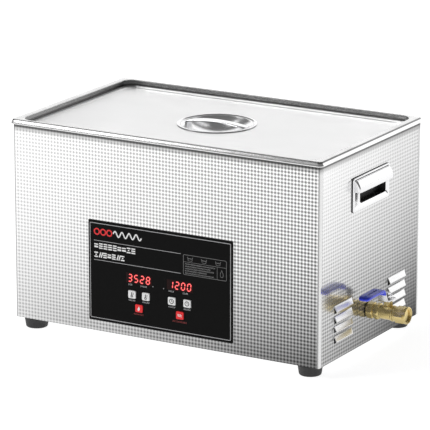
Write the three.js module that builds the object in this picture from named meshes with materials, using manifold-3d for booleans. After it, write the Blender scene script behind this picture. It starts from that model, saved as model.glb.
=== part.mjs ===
// Bench-top ultrasonic cleaner, 30 litre class, as an assembly of separate pieces.
// Millimetres, +Z up. The control panel faces -Y, the drain valve leaves the +X side.
// The body is built about its own centre and then shifted, so that the origin lies
// under the middle of the whole object, valve and handles included, at floor level.
import * as THREE from 'three';
import { mergeVertices } from 'three/addons/utils/BufferGeometryUtils.js';
import Module from 'manifold-3d';

const wasm = await Module();
wasm.setup();

// ---------- driving dimensions ----------
const BODY_HALF_X = 265;
const BODY_HALF_Y = 160;
const SHEET = 1.2;
const GAP = 0.3;
const FOOT_HEIGHT = 17;
const SHEET_TOP = 325;
const RIM_TOP = 330;
const LIP_LOW = 323;

const TANK = { halfX: 250, halfY: 150, corner: 14, floor: 120, fillet: 12, wall: 1.5 };
const RECESS = { halfX: 254.5, halfY: 154.5, corner: 18, ledge: 318.4 };
const TANK_UNDER = TANK.floor - TANK.wall;

const LID = { halfX: 253.5, halfY: 153.5, corner: 17, top: 322, sheet: 1, dishHole: 55 };
const DISH = { ring: 61, mouth: 54, floor: 48, depth: 17 };
const BRIDGE = { halfX: 51, halfY: 9, low: 321, thick: 3 };

const FOOT = { x: 240, y: 140, top: 19.5, bottom: 17, bore: 5.5, boreDepth: 8 };
const FOOT_PLACES = { front_left: [-1, -1], front_right: [1, -1], rear_left: [-1, 1], rear_right: [1, 1] };

const PANEL = { x0: -131, x1: 120, z0: 33.5, z1: 191, thick: 0.8, corner: 1.5 };
const KEY = { halfX: 6.4, halfZ: 6, proud: 1.4, back: -151, clearance: 0.35, corner: 1.6 };
const KEYS = {
  key_temperature_up: [-54.2, 83.8],
  key_temperature_down: [-30, 83.8],
  key_heat: [-42, 63.5],
  key_time_down: [15.4, 83.8],
  key_time_up: [42.2, 83.8],
  key_ultrasonic: [29.5, 63.5],
};
const DISPLAY = { halfX: 26, halfZ: 10, windowX: 23, windowZ: 8, z: 109.2 };
const DISPLAYS = { display_temperature: -42.4, display_timer: 29.2 };
const BOARD = { x0: -85, x1: 75, z0: 50, z1: 122, y0: -149.6, y1: -148 };

const HANDLE = {
  halfY: 64, z0: 228.5, z1: 282.5, corner: 2.5, plate: 2.6,
  mouthY: 45, mouthLow: 238.5, mouthHigh: 275, pocketX: 253.8, wall: 1.2,
  hoodLow: 258, hoodHalfY: 57, hoodTop: 21, hoodProud: 9.5, hoodWall: 1.6,
};
const LOUVRE = { length: 56, high: 9, proud: 5, skin: 1, slotHigh: 7 };
const LOUVRE_Y = [-86, 86];
const LOUVRE_Z = [46, 61.3, 76.6, 92];

const DRAIN = { x: 205, y: -6, z: 68.3, pipe: 8.5, bore: 6, bend: 24 };
const VALVE = {
  wallHex: [BODY_HALF_X + GAP, 278], body: [278.3, 310], end: [310.3, 333], flats: 22.5,
  bodyRadius: 10.8, stemX: 299, ball: 8.2, ballBore: 5.4, cavity: 8.7, thread: 10, threadFrom: 319,
  mouthRing: 13.1, mouthFrom: 329.5, bossTop: 80, bossRadius: 8, stem: 4,
  packing: [80.3, 86.5], nut: [91.1, 98.3], flatsSmall: 13,
};
const LEVER = { low: 88.3, thick: 2.5, halfX: 8, high: 108, cranked: [-20, -36], tip: -85, heel: 4 };
const SLEEVE = { halfX: 9.4, y0: -88, y1: -38, low: 105, high: 113, corner: 3.6 };

const TRANSDUCER = { xs: [-180, -60, 60, 180], ys: [-75, 75], height: 52 };
const HEATER = { halfX: 180, z0: 165, z1: 245, thick: 2 };

const FAN = { x: -150, z: 68, half: 40, depth: 25, hole: 37.5, hub: 16, tip: 36, blades: 7 };
const REAR_Z = 62;
const INLET_X = 150;
const SWITCH_X = 105;
const FUSE_X = 188;
const ROCKER_Y = BODY_HALF_Y - 5.5;

// ---------- helpers ----------
const assembly = new THREE.Group();

/** Keep only positions, join equal vertices, drop flat triangles and face outwards. */
function tidy(geometry) {
  const plain = geometry.clone();
  plain.deleteAttribute('normal');
  plain.deleteAttribute('uv');
  const merged = mergeVertices(plain, 1e-4);
  const index = merged.index.array;
  const kept = [];
  for (let i = 0; i < index.length; i += 3) {
    const [a, b, c] = [index[i], index[i + 1], index[i + 2]];
    if (a !== b && b !== c && c !== a) kept.push(a, b, c);
  }
  const p = merged.attributes.position;
  const corners = [new THREE.Vector3(), new THREE.Vector3(), new THREE.Vector3()];
  let volume = 0;
  for (let i = 0; i < kept.length; i += 3) {
    corners.forEach((corner, k) => corner.fromBufferAttribute(p, kept[i + k]));
    volume += corners[0].dot(corners[1].clone().cross(corners[2]));
  }
  if (volume < 0) kept.reverse();
  merged.setIndex(kept);
  return merged;
}

function solid(geometry) {
  const clean = tidy(geometry);
  const mesh = new wasm.Mesh({
    numProp: 3,
    vertProperties: new Float32Array(clean.attributes.position.array),
    triVerts: new Uint32Array(clean.index.array),
  });
  return new wasm.Manifold(mesh);
}

function geometryOf(manifold) {
  const mesh = manifold.getMesh();
  const geometry = new THREE.BufferGeometry();
  geometry.setAttribute('position', new THREE.BufferAttribute(mesh.vertProperties, 3));
  geometry.setIndex(new THREE.BufferAttribute(mesh.triVerts, 1));
  return geometry;
}

/** The first geometry, with the geometries of `joined` added and then those of `cuts` taken away. */
function carve(base, cuts, joined = []) {
  let result = solid(base);
  for (const piece of joined) result = result.add(solid(piece));
  for (const cut of cuts) result = result.subtract(solid(cut));
  return geometryOf(result);
}

function add(name, geometry, color, roughness = 0.4, metalness = 0) {
  const material = new THREE.MeshStandardMaterial({ color, roughness, metalness });
  const mesh = new THREE.Mesh(tidy(geometry), material);
  mesh.name = name;
  assembly.add(mesh);
}

function box(x0, x1, y0, y1, z0, z1) {
  const geometry = new THREE.BoxGeometry(x1 - x0, y1 - y0, z1 - z0);
  return geometry.translate((x0 + x1) / 2, (y0 + y1) / 2, (z0 + z1) / 2);
}

const TURN_TO = {
  X: (geometry) => geometry.rotateZ(-Math.PI / 2),
  Y: (geometry) => geometry,
  Z: (geometry) => geometry.rotateX(Math.PI / 2),
};

/** A cylinder, or a prism when `sides` is small, along an axis from `from` to `to`. */
function rod(axis, radius, from, to, u, v, sides = 16, turn = 0) {
  const geometry = new THREE.CylinderGeometry(radius, radius, to - from, sides).rotateY(turn);
  TURN_TO[axis](geometry);
  const middle = (from + to) / 2;
  if (axis === 'X') return geometry.translate(middle, u, v);
  if (axis === 'Y') return geometry.translate(u, middle, v);
  return geometry.translate(u, v, middle);
}

/** A hexagon bar of a given width across its flats, with a corner towards +Z or +Y. */
function hexBar(axis, flats, from, to, u, v) {
  return rod(axis, flats / Math.sqrt(3), from, to, u, v, 6);
}

/** A turned shape: the profile holds [radius, height] pairs along the axis. */
function turned(axis, profile, u, v, sides = 16) {
  const points = profile.map(([radius, height]) => new THREE.Vector2(radius, height));
  const geometry = TURN_TO[axis](new THREE.LatheGeometry(points, sides));
  if (axis === 'X') return geometry.translate(0, u, v);
  if (axis === 'Y') return geometry.translate(u, 0, v);
  return geometry.translate(u, v, 0);
}

/** A rounded rectangle as a shape, with its middle at the origin. */
function roundedShape(halfX, halfY, radius) {
  const shape = new THREE.Shape();
  shape.moveTo(halfX - radius, -halfY);
  shape.absarc(halfX - radius, -halfY + radius, radius, -Math.PI / 2, 0);
  shape.absarc(halfX - radius, halfY - radius, radius, 0, Math.PI / 2);
  shape.absarc(-halfX + radius, halfY - radius, radius, Math.PI / 2, Math.PI);
  shape.absarc(-halfX + radius, -halfY + radius, radius, Math.PI, Math.PI * 1.5);
  return shape;
}

/** A rounded plate whose face looks along Y, between two heights and two depths. */
function plateY(x0, x1, z0, z1, y0, y1, radius) {
  const shape = roundedShape((x1 - x0) / 2, (z1 - z0) / 2, radius);
  const options = { depth: y1 - y0, bevelEnabled: false, curveSegments: 3 };
  const geometry = new THREE.ExtrudeGeometry(shape, options);
  return geometry.rotateX(Math.PI / 2).translate((x0 + x1) / 2, y1, (z0 + z1) / 2);
}

/** A rounded plate whose face looks along X. */
function plateX(y0, y1, z0, z1, x0, x1, radius) {
  const plate = plateY(y0, y1, z0, z1, -x1, -x0, radius);
  return plate.rotateZ(Math.PI / 2);
}

/** A prism along X whose outline holds [y, z] pairs. */
function prismX(outline, x0, x1) {
  const shape = new THREE.Shape(outline.map(([y, z]) => new THREE.Vector2(y, z)));
  const geometry = new THREE.ExtrudeGeometry(shape, { depth: x1 - x0, bevelEnabled: false });
  return geometry.rotateY(Math.PI / 2).rotateX(Math.PI / 2).translate(x0, 0, 0);
}

/** A prism along Y whose outline holds [x, z] pairs. */
function prismY(outline, y0, y1) {
  const shape = new THREE.Shape(outline.map(([x, z]) => new THREE.Vector2(x, z)));
  const geometry = new THREE.ExtrudeGeometry(shape, { depth: y1 - y0, bevelEnabled: false });
  return geometry.rotateX(Math.PI / 2).translate(0, y1, 0);
}

/** One level ring with rounded corners. */
function ring(halfX, halfY, radius, z) {
  const steps = 3;
  const points = [];
  for (let corner = 0; corner < 4; corner += 1) {
    const middleX = (corner === 0 || corner === 3 ? 1 : -1) * (halfX - radius);
    const middleY = (corner < 2 ? 1 : -1) * (halfY - radius);
    for (let step = 0; step <= steps; step += 1) {
      const angle = (corner + step / steps) * Math.PI / 2;
      const x = middleX + radius * Math.cos(angle);
      const y = middleY + radius * Math.sin(angle);
      points.push(new THREE.Vector3(x, y, z));
    }
  }
  return points;
}

/** A skin over a row of rings: closed into a loop, or capped flat at both ends. */
function skin(rings, loop = false) {
  const count = rings[0].length;
  const positions = rings.flat().flatMap((point) => point.toArray());
  const index = [];
  const last = loop ? rings.length : rings.length - 1;
  for (let row = 0; row < last; row += 1) {
    const low = row * count;
    const high = ((row + 1) % rings.length) * count;
    for (let k = 0; k < count; k += 1) {
      const next = (k + 1) % count;
      index.push(low + k, low + next, high + next, low + k, high + next, high + k);
    }
  }
  if (!loop) {
    const top = (rings.length - 1) * count;
    for (let k = 1; k < count - 1; k += 1) {
      index.push(0, k + 1, k);
      index.push(top, top + k, top + k + 1);
    }
  }
  const geometry = new THREE.BufferGeometry();
  geometry.setAttribute('position', new THREE.Float32BufferAttribute(positions, 3));
  geometry.setIndex(index);
  return geometry;
}

// ---------- colours ----------
const STEEL = 0xc9ccce;
const BRIGHT_STEEL = 0xe2e4e6;
const BRASS = 0xc8a850;
const BLACK = 0x1c1c1c;
const BOARD_GREEN = 0x1e5a38;
const ALUMINIUM = 0xb9bdc1;

// ---------- casing ----------
/** Front sheet with both upright edges bent back onto the sides. */
function frontPanel() {
  const bend = 3;
  const back = -BODY_HALF_Y + 8;
  const outer = BODY_HALF_X;
  const shape = new THREE.Shape();
  shape.moveTo(-outer, back);
  shape.lineTo(-outer, -BODY_HALF_Y + bend);
  shape.absarc(-outer + bend, -BODY_HALF_Y + bend, bend, Math.PI, Math.PI * 1.5);
  shape.lineTo(outer - bend, -BODY_HALF_Y);
  shape.absarc(outer - bend, -BODY_HALF_Y + bend, bend, -Math.PI / 2, 0);
  shape.lineTo(outer, back);
  shape.lineTo(outer - SHEET, back);
  shape.lineTo(outer - SHEET, -BODY_HALF_Y + bend);
  shape.absarc(outer - bend, -BODY_HALF_Y + bend, bend - SHEET, 0, -Math.PI / 2, true);
  shape.lineTo(-outer + bend, -BODY_HALF_Y + SHEET);
  shape.absarc(-outer + bend, -BODY_HALF_Y + bend, bend - SHEET, -Math.PI / 2, -Math.PI, true);
  shape.lineTo(-outer + SHEET, back);
  const options = { depth: SHEET_TOP - FOOT_HEIGHT, bevelEnabled: false, curveSegments: 3 };
  const sheet = new THREE.ExtrudeGeometry(shape, options).translate(0, 0, FOOT_HEIGHT);
  const cuts = [];
  for (const [x, z] of Object.values(KEYS)) cuts.push(keyHole(x, z));
  for (const x of Object.values(DISPLAYS)) cuts.push(displayWindow(x));
  add('front_panel', carve(sheet, cuts), STEEL, 0.3, 0.9);
}

function keyHole(x, z) {
  const wide = KEY.halfX + KEY.clearance;
  const high = KEY.halfZ + KEY.clearance;
  return box(x - wide, x + wide, -BODY_HALF_Y - 5, -BODY_HALF_Y + 5, z - high, z + high);
}

function displayWindow(x) {
  const { windowX, windowZ, z } = DISPLAY;
  return box(x - windowX, x + windowX, -BODY_HALF_Y - 5, -BODY_HALF_Y + 5, z - windowZ, z + windowZ);
}

/** One pressed louvre: a wedge-shaped hood, open underneath, that sheds water downwards. */
function louvreOuter(y, z) {
  const x = BODY_HALF_X - 0.5;
  const edge = BODY_HALF_X + LOUVRE.proud;
  const outline = [[x, z], [edge, z], [edge, z + 1.2], [x, z + LOUVRE.high]];
  return prismY(outline, y - LOUVRE.length / 2, y + LOUVRE.length / 2);
}

function louvreInner(y, z) {
  const x = BODY_HALF_X - SHEET - 1;
  const proud = BODY_HALF_X + LOUVRE.proud - LOUVRE.skin;
  const roof = z + LOUVRE.slotHigh;
  const outline = [[x, z - 0.5], [proud, z - 0.5], [proud, z + 0.8], [BODY_HALF_X, roof], [x, roof]];
  const half = LOUVRE.length / 2 - LOUVRE.skin;
  return prismY(outline, y - half, y + half);
}

function sidePanel() {
  const sheet = box(
    BODY_HALF_X - SHEET, BODY_HALF_X, -BODY_HALF_Y + 8 + GAP, BODY_HALF_Y, FOOT_HEIGHT, SHEET_TOP,
  );
  const hoods = [];
  const cuts = [];
  for (const y of LOUVRE_Y) {
    for (const z of LOUVRE_Z) {
      hoods.push(louvreOuter(y, z));
      cuts.push(louvreInner(y, z));
    }
  }
  const mouthY = HANDLE.mouthY + HANDLE.wall + GAP;
  const low = HANDLE.mouthLow - HANDLE.wall - GAP;
  const high = HANDLE.mouthHigh + HANDLE.wall + GAP;
  cuts.push(box(BODY_HALF_X - 5, BODY_HALF_X + 5, -mouthY, mouthY, low, high));
  return { sheet, hoods, cuts };
}

function sidePanels() {
  const { sheet, hoods, cuts } = sidePanel();
  const pipeHole = rod('X', DRAIN.pipe + 1, BODY_HALF_X - 5, BODY_HALF_X + 5, DRAIN.y, DRAIN.z);
  add('side_panel_right', carve(sheet, [...cuts, pipeHole], hoods), STEEL, 0.3, 0.9);
  add('side_panel_left', carve(sheet, cuts, hoods).scale(-1, 1, 1), STEEL, 0.3, 0.9);
}

function rearPanel() {
  const half = BODY_HALF_X - SHEET - GAP;
  const sheet = box(-half, half, BODY_HALF_Y - SHEET, BODY_HALF_Y, FOOT_HEIGHT, SHEET_TOP);
  const through = [BODY_HALF_Y - 5, BODY_HALF_Y + 5];
  const cuts = [
    rod('Y', FAN.hole, ...through, FAN.x, FAN.z, 32),
    box(INLET_X - 14, INLET_X + 14, ...through, REAR_Z - 10.3, REAR_Z + 10.3),
    box(SWITCH_X - 9.8, SWITCH_X + 9.8, ...through, REAR_Z - 13.3, REAR_Z + 13.3),
    rod('Y', 6.4, ...through, FUSE_X, REAR_Z, 20),
  ];
  add('rear_panel', carve(sheet, cuts), STEEL, 0.3, 0.9);
}

function basePlate() {
  const halfX = BODY_HALF_X - SHEET - GAP;
  const halfY = BODY_HALF_Y - SHEET - GAP;
  const options = { depth: 1.5, bevelEnabled: false, curveSegments: 3 };
  const outline = roundedShape(halfX, halfY, 3);
  const plate = new THREE.ExtrudeGeometry(outline, options).translate(0, 0, FOOT_HEIGHT);
  const cuts = [];
  for (const [sx, sy] of Object.values(FOOT_PLACES)) {
    cuts.push(rod('Z', 2.9, FOOT_HEIGHT - 1, FOOT_HEIGHT + 3, sx * FOOT.x, sy * FOOT.y, 12));
  }
  for (let slot = -3; slot <= 3; slot += 1) {
    const x = slot * 50;
    cuts.push(box(x - 3, x + 3, -110, -60, FOOT_HEIGHT - 1, FOOT_HEIGHT + 3));
  }
  add('base_plate', carve(plate, cuts), STEEL, 0.45, 0.9);
}

// ---------- tank ----------
function tank() {
  const rings = [];
  const { halfX, halfY, corner, floor, fillet, wall } = TANK;
  const bend = (radius, angle) => {
    const inset = -fillet + radius * Math.sin(angle);
    return ring(halfX + inset, halfY + inset, corner + inset, floor + fillet - radius * Math.cos(angle));
  };
  const angles = [0, 1, 2, 3].map((k) => k * Math.PI / 6);
  for (const angle of angles) rings.push(bend(fillet, angle));
  const ledge = RECESS.ledge;
  rings.push(ring(halfX, halfY, corner, ledge - 1.2));
  rings.push(ring(halfX + 1.2, halfY + 1.2, corner, ledge));
  rings.push(ring(RECESS.halfX - 1, RECESS.halfY - 1, RECESS.corner, ledge));
  rings.push(ring(RECESS.halfX, RECESS.halfY, RECESS.corner, ledge + 1));
  rings.push(ring(RECESS.halfX, RECESS.halfY, RECESS.corner, RIM_TOP - 1));
  rings.push(ring(RECESS.halfX + 1, RECESS.halfY + 1, RECESS.corner + 1, RIM_TOP));
  rings.push(ring(BODY_HALF_X + 0.5, BODY_HALF_Y + 0.5, 5, RIM_TOP));
  rings.push(ring(BODY_HALF_X + 1.6, BODY_HALF_Y + 1.6, 6, RIM_TOP - 0.8));
  rings.push(ring(BODY_HALF_X + 4.2, BODY_HALF_Y + 4.2, 8, LIP_LOW + 0.4));
  rings.push(ring(BODY_HALF_X + 3.9, BODY_HALF_Y + 3.9, 7.5, LIP_LOW));
  rings.push(ring(BODY_HALF_X + 2.7, BODY_HALF_Y + 2.7, 5.5, LIP_LOW));
  rings.push(ring(BODY_HALF_X - 0.3, BODY_HALF_Y - 0.3, 3, RIM_TOP - wall));
  rings.push(ring(RECESS.halfX + wall, RECESS.halfY + wall, RECESS.corner + 1, RIM_TOP - wall));
  rings.push(ring(RECESS.halfX + wall, RECESS.halfY + wall, RECESS.corner + 1, ledge - 0.3));
  rings.push(ring(RECESS.halfX + 0.3, RECESS.halfY + 0.3, RECESS.corner + 1, ledge - wall));
  rings.push(ring(halfX + wall + 0.5, halfY + wall + 0.5, corner + 1, ledge - wall));
  rings.push(ring(halfX + wall, halfY + wall, corner + wall, ledge - wall - 1));
  for (const angle of [...angles].reverse()) rings.push(bend(fillet + wall, angle));
  const drainHole = rod('Z', DRAIN.pipe + 0.4, TANK_UNDER - 5, TANK.floor + 5, DRAIN.x, DRAIN.y);
  add('tank', carve(skin(rings), [drainHole]), STEEL, 0.25, 0.9);
}

// ---------- lid ----------
function lid() {
  const { halfX, halfY, corner, top, sheet } = LID;
  const low = RECESS.ledge + GAP;
  const rings = [
    ring(halfX - 2, halfY - 2, corner - 2, top),
    ring(halfX - 0.6, halfY - 0.6, corner - 1, top - 0.6),
    ring(halfX, halfY, corner, top - 1.6),
    ring(halfX, halfY, corner, low),
    ring(halfX - sheet, halfY - sheet, corner - 1, low),
    ring(halfX - sheet, halfY - sheet, corner - 1, top - 1.8),
    ring(halfX - 2.2, halfY - 2.2, corner - 2, top - sheet),
  ];
  const hole = rod('Z', LID.dishHole, top - 5, top + 5, 0, 0, 28);
  add('lid_plate', carve(skin(rings), [hole]), BRIGHT_STEEL, 0.3, 0.9);
  const under = top + GAP;
  const dish = [
    [0, top - DISH.depth], [DISH.floor - 4, top - DISH.depth], [DISH.floor, top - DISH.depth + 3],
    [DISH.mouth - 1, under - 1], [DISH.mouth, under + 1], [DISH.ring - 1, under + 1.4],
    [DISH.ring, under + 0.8], [DISH.ring, under], [DISH.mouth + 0.6, under], [DISH.mouth, under - 1],
    [DISH.floor + 1, top - DISH.depth + 2.6], [DISH.floor - 3.6, top - DISH.depth - 1],
    [0, top - DISH.depth - 1],
  ];
  add('lid_dish', turned('Z', dish, 0, 0, 28), BRIGHT_STEEL, 0.15, 1);
  add('lid_bridge', bridge(), BRIGHT_STEEL, 0.15, 1);
}

/** The finger bar over the dish: a flat strap that arches a little and turns down at its ends. */
function bridge() {
  const { halfX, halfY, low, thick } = BRIDGE;
  const outline = [];
  const steps = 10;
  for (let k = 0; k <= steps; k += 1) {
    const x = -halfX + (2 * halfX * k) / steps;
    outline.push([x, low + thick + 2 * Math.cos((x / halfX) * Math.PI / 2)]);
  }
  for (let k = steps; k >= 0; k -= 1) {
    const x = -halfX + (2 * halfX * k) / steps;
    outline.push([x, low + 2 * Math.cos((x / halfX) * Math.PI / 2)]);
  }
  return prismY(outline, -halfY, halfY);
}

// ---------- feet ----------
function feet() {
  const { top, bottom, bore, boreDepth } = FOOT;
  const high = FOOT_HEIGHT - GAP;
  const cup = [
    [bore, 0], [bottom - 2, 0], [bottom - 0.5, 0.6], [bottom, 2], [top, high - 1], [top - 0.8, high],
    [2.9, high], [2.9, boreDepth], [bore, boreDepth], [bore, 0],
  ];
  const screw = [
    [0, boreDepth - 3.2], [3.6, boreDepth - 3], [4.6, boreDepth - 1.6], [4.6, boreDepth - GAP],
    [2.5, boreDepth - GAP], [2.5, FOOT_HEIGHT + 4], [2, FOOT_HEIGHT + 4.6], [0, FOOT_HEIGHT + 4.6],
  ];
  for (const [place, [sx, sy]] of Object.entries(FOOT_PLACES)) {
    add(`foot_${place}`, turned('Z', cup, sx * FOOT.x, sy * FOOT.y, 16), BLACK, 0.7);
    add(`foot_screw_${place}`, turned('Z', screw, sx * FOOT.x, sy * FOOT.y, 8), STEEL, 0.4, 1);
  }
}

// ---------- control panel ----------
function controls() {
  const outer = -BODY_HALF_Y - GAP;
  const overlay = plateY(PANEL.x0, PANEL.x1, PANEL.z0, PANEL.z1, outer - PANEL.thick, outer, PANEL.corner);
  const cuts = [];
  for (const [name, [x, z]] of Object.entries(KEYS)) {
    cuts.push(keyHole(x, z));
    const isRed = name === 'key_heat' || name === 'key_ultrasonic';
    const face = outer - PANEL.thick - KEY.proud;
    const cap = plateY(
      x - KEY.halfX, x + KEY.halfX, z - KEY.halfZ, z + KEY.halfZ, face, KEY.back, KEY.corner,
    );
    add(name, cap, isRed ? 0xe8222a : 0xf2f2f0, 0.4);
  }
  for (const [name, x] of Object.entries(DISPLAYS)) {
    cuts.push(displayWindow(x));
    const { halfX, halfZ, z } = DISPLAY;
    const module = box(
      x - halfX, x + halfX, -BODY_HALF_Y + SHEET + GAP, BOARD.y0 - GAP, z - halfZ, z + halfZ,
    );
    add(name, module, 0x401014, 0.3);
  }
  add('panel_overlay', carve(overlay, cuts), 0x222326, 0.25);
  add('control_board', box(BOARD.x0, BOARD.x1, BOARD.y0, BOARD.y1, BOARD.z0, BOARD.z1), BOARD_GREEN, 0.5);
}

// ---------- side handles ----------
/** Pressed pull handle: a flange, a shallow pocket behind it and a hood bulging over the mouth. */
function handleShape() {
  const h = HANDLE;
  const face = BODY_HALF_X + GAP;
  const flange = plateX(-h.halfY, h.halfY, h.z0, h.z1, face, face + h.plate, h.corner);
  const pocket = box(
    h.pocketX, face + 0.5, -h.mouthY - h.wall, h.mouthY + h.wall, h.mouthLow - h.wall, h.mouthHigh + h.wall,
  );
  const base = face + h.plate;
  const hood = (proud, tall, halfY, root) => {
    const outline = [[root, h.hoodLow], [base + proud, h.hoodLow]];
    for (let k = 1; k <= 6; k += 1) {
      const angle = (k / 6) * Math.PI / 2;
      outline.push([base + proud * Math.cos(angle), h.hoodLow + tall * Math.sin(angle)]);
    }
    outline.push([root, h.hoodLow + tall]);
    return prismY(outline, -halfY, halfY);
  };
  const outer = hood(h.hoodProud, h.hoodTop, h.hoodHalfY, face + 1);
  const reach = hood(h.hoodProud - h.hoodWall, h.hoodTop - h.hoodWall - 3, h.mouthY, face - 1);
  const room = box(h.pocketX + h.wall, face + 1, -h.mouthY, h.mouthY, h.mouthLow, h.mouthHigh);
  const mouth = box(h.pocketX + h.wall, face + 20, -h.mouthY, h.mouthY, h.mouthLow, h.hoodLow + 0.1);
  return carve(flange, [reach, room, mouth], [pocket, outer]);
}

function handles() {
  const shape = handleShape();
  add('handle_right', shape, BRIGHT_STEEL, 0.12, 1);
  add('handle_left', shape.clone().scale(-1, 1, 1), BRIGHT_STEEL, 0.12, 1);
}

// ---------- drain and valve ----------
/** Round rings along the drain pipe's centre line: down from the tank, round the bend, out sideways. */
function pipeRings(radius, top, far) {
  const sides = 12;
  const stations = [];
  const { x, z, bend } = DRAIN;
  stations.push([x, top, 0]);
  for (let k = 0; k <= 5; k += 1) {
    const angle = (k / 5) * Math.PI / 2;
    stations.push([x + bend * (1 - Math.cos(angle)), z + bend * (1 - Math.sin(angle)), angle]);
  }
  stations.push([far, z, Math.PI / 2]);
  return stations.map(([px, pz, angle]) => {
    const across = new THREE.Vector3(Math.cos(angle), 0, Math.sin(angle));
    const sideways = new THREE.Vector3(0, 1, 0);
    return Array.from({ length: sides }, (unused, k) => {
      const turn = (k / sides) * Math.PI * 2;
      const point = new THREE.Vector3(px, DRAIN.y, pz);
      point.addScaledVector(across, radius * Math.cos(turn));
      return point.addScaledVector(sideways, radius * Math.sin(turn));
    });
  });
}

function drain() {
  const top = TANK.floor + 1.4;
  const flange = rod('Z', 16, TANK.floor + GAP, top, DRAIN.x, DRAIN.y);
  const pipe = skin(pipeRings(DRAIN.pipe, top, BODY_HALF_X + 5));
  const bore = skin(pipeRings(DRAIN.bore, top + 2, BODY_HALF_X + 8));
  add('drain_elbow', carve(pipe, [bore], [flange]), STEEL, 0.35, 1);
  const nut = hexBar('Z', 30, TANK_UNDER - 7, TANK_UNDER - GAP, DRAIN.x, DRAIN.y);
  const nutBore = rod('Z', DRAIN.pipe + GAP, TANK_UNDER - 9, TANK_UNDER + 2, DRAIN.x, DRAIN.y);
  add('drain_tank_nut', carve(nut, [nutBore]), BRASS, 0.35, 1);
}

function valve() {
  const { y, z, bore, pipe } = DRAIN;
  const v = VALVE;
  const wallHex = hexBar('X', v.flats, ...v.wallHex, y, z);
  const wallCuts = [
    rod('X', pipe + GAP, v.wallHex[0] - 1, BODY_HALF_X + 5 + GAP, y, z),
    rod('X', bore, v.wallHex[0] - 1, v.wallHex[1] + 1, y, z),
  ];
  add('valve_inlet_hex', carve(wallHex, wallCuts), BRASS, 0.3, 1);

  const [from, to] = v.body;
  const barrel = turned('X', [
    [0, from], [v.bodyRadius - 1.5, from], [v.bodyRadius - 1.5, from + 3], [v.bodyRadius, from + 6],
    [v.bodyRadius, to - 4], [v.bodyRadius + 0.8, to - 3.4], [v.bodyRadius + 0.8, to], [0, to],
  ], y, z);
  const boss = rod('Z', v.bossRadius, z, v.bossTop, v.stemX, y);
  const bodyCuts = [
    rod('X', v.cavity, v.stemX - v.cavity, to + 1, y, z),
    rod('X', bore, from - 1, to + 1, y, z),
    rod('Z', v.stem + GAP, z, v.bossTop + 1, v.stemX, y),
  ];
  add('valve_body', carve(barrel, bodyCuts, [boss]), BRASS, 0.3, 1);

  const collar = rod('X', v.bodyRadius + 0.8, v.end[0], v.end[0] + 3, y, z);
  const mouthRing = rod('X', v.mouthRing, v.mouthFrom, v.end[1], y, z);
  const endHex = hexBar('X', v.flats, v.end[0] + 2.5, v.mouthFrom + 0.5, y, z);
  const endCuts = [
    rod('X', bore, v.end[0] - 1, v.end[1] + 1, y, z),
    rod('X', v.thread, v.threadFrom, v.end[1] + 1, y, z),
  ];
  add('valve_outlet_end', carve(endHex, endCuts, [collar, mouthRing]), BRASS, 0.3, 1);

  const ball = new THREE.SphereGeometry(v.ball, 16, 10).rotateX(Math.PI / 2).translate(v.stemX, y, z);
  add('valve_ball', carve(ball, [rod('Y', v.ballBore, y - 20, y + 20, v.stemX, z)]), BRIGHT_STEEL, 0.1, 1);
  add('valve_stem', rod('Z', v.stem, z + v.ball + GAP, v.nut[1] + 1.5, v.stemX, y, 16), BRASS, 0.3, 1);
  const packing = hexBar('Z', v.flatsSmall, ...v.packing, v.stemX, y);
  const stemHole = rod('Z', v.stem + GAP, v.packing[0] - 1, v.nut[1] + 3, v.stemX, y, 16);
  add('valve_packing_nut', carve(packing, [stemHole]), BRASS, 0.3, 1);
  const nut = hexBar('Z', v.flatsSmall - 1, ...v.nut, v.stemX, y);
  add('lever_nut', carve(nut, [stemHole]), BRIGHT_STEEL, 0.3, 1);
  add('valve_lever', carve(leverStrip(), [stemHole]), BRIGHT_STEEL, 0.3, 1);
  add('lever_sleeve', leverSleeve(), 0x2a45e0, 0.35);
}

/** The lever strip lies flat on the stem, steps up in a crank and runs on level inside the sleeve. */
function leverStrip() {
  const { low, thick, halfX, high, cranked, tip, heel } = LEVER;
  const top = (height) => height + thick;
  const outline = [
    [heel, low], [heel, top(low)], [cranked[0], top(low)], [cranked[1], top(high)],
    [tip, top(high)], [tip, high], [cranked[1] - 1, high], [cranked[0] - 1, low],
  ];
  return prismX(outline, VALVE.stemX - halfX, VALVE.stemX + halfX);
}

function leverSleeve() {
  const { halfX, y0, y1, low, high, corner } = SLEEVE;
  const bar = plateY(VALVE.stemX - halfX, VALVE.stemX + halfX, low, high, y0, y1, corner);
  const room = box(
    VALVE.stemX - LEVER.halfX - GAP, VALVE.stemX + LEVER.halfX + GAP, LEVER.tip - GAP, y1 + 1,
    LEVER.high - GAP, LEVER.high + LEVER.thick + GAP,
  );
  return carve(bar, [room]);
}

// ---------- ultrasonic drive and heating ----------
function transducers() {
  const top = TANK_UNDER - GAP;
  const low = top - TRANSDUCER.height;
  const stack = [
    [0, low], [6, low], [6, low + 4], [21, low + 4], [21, low + 22], [22.5, low + 23],
    [22.5, low + 33], [21, low + 34], [29, top], [0, top],
  ];
  let number = 1;
  for (const y of TRANSDUCER.ys) {
    for (const x of TRANSDUCER.xs) {
      add(`transducer_${number}`, turned('Z', stack, x, y, 10), ALUMINIUM, 0.35, 0.9);
      number += 1;
    }
  }
}

function heaters() {
  const near = TANK.halfY + TANK.wall + GAP;
  const { halfX, z0, z1, thick } = HEATER;
  add('heater_front', box(-halfX, halfX, -near - thick, -near, z0, z1), 0xb4552a, 0.7);
  add('heater_rear', box(-halfX, halfX, near, near + thick, z0, z1), 0xb4552a, 0.7);
}

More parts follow.
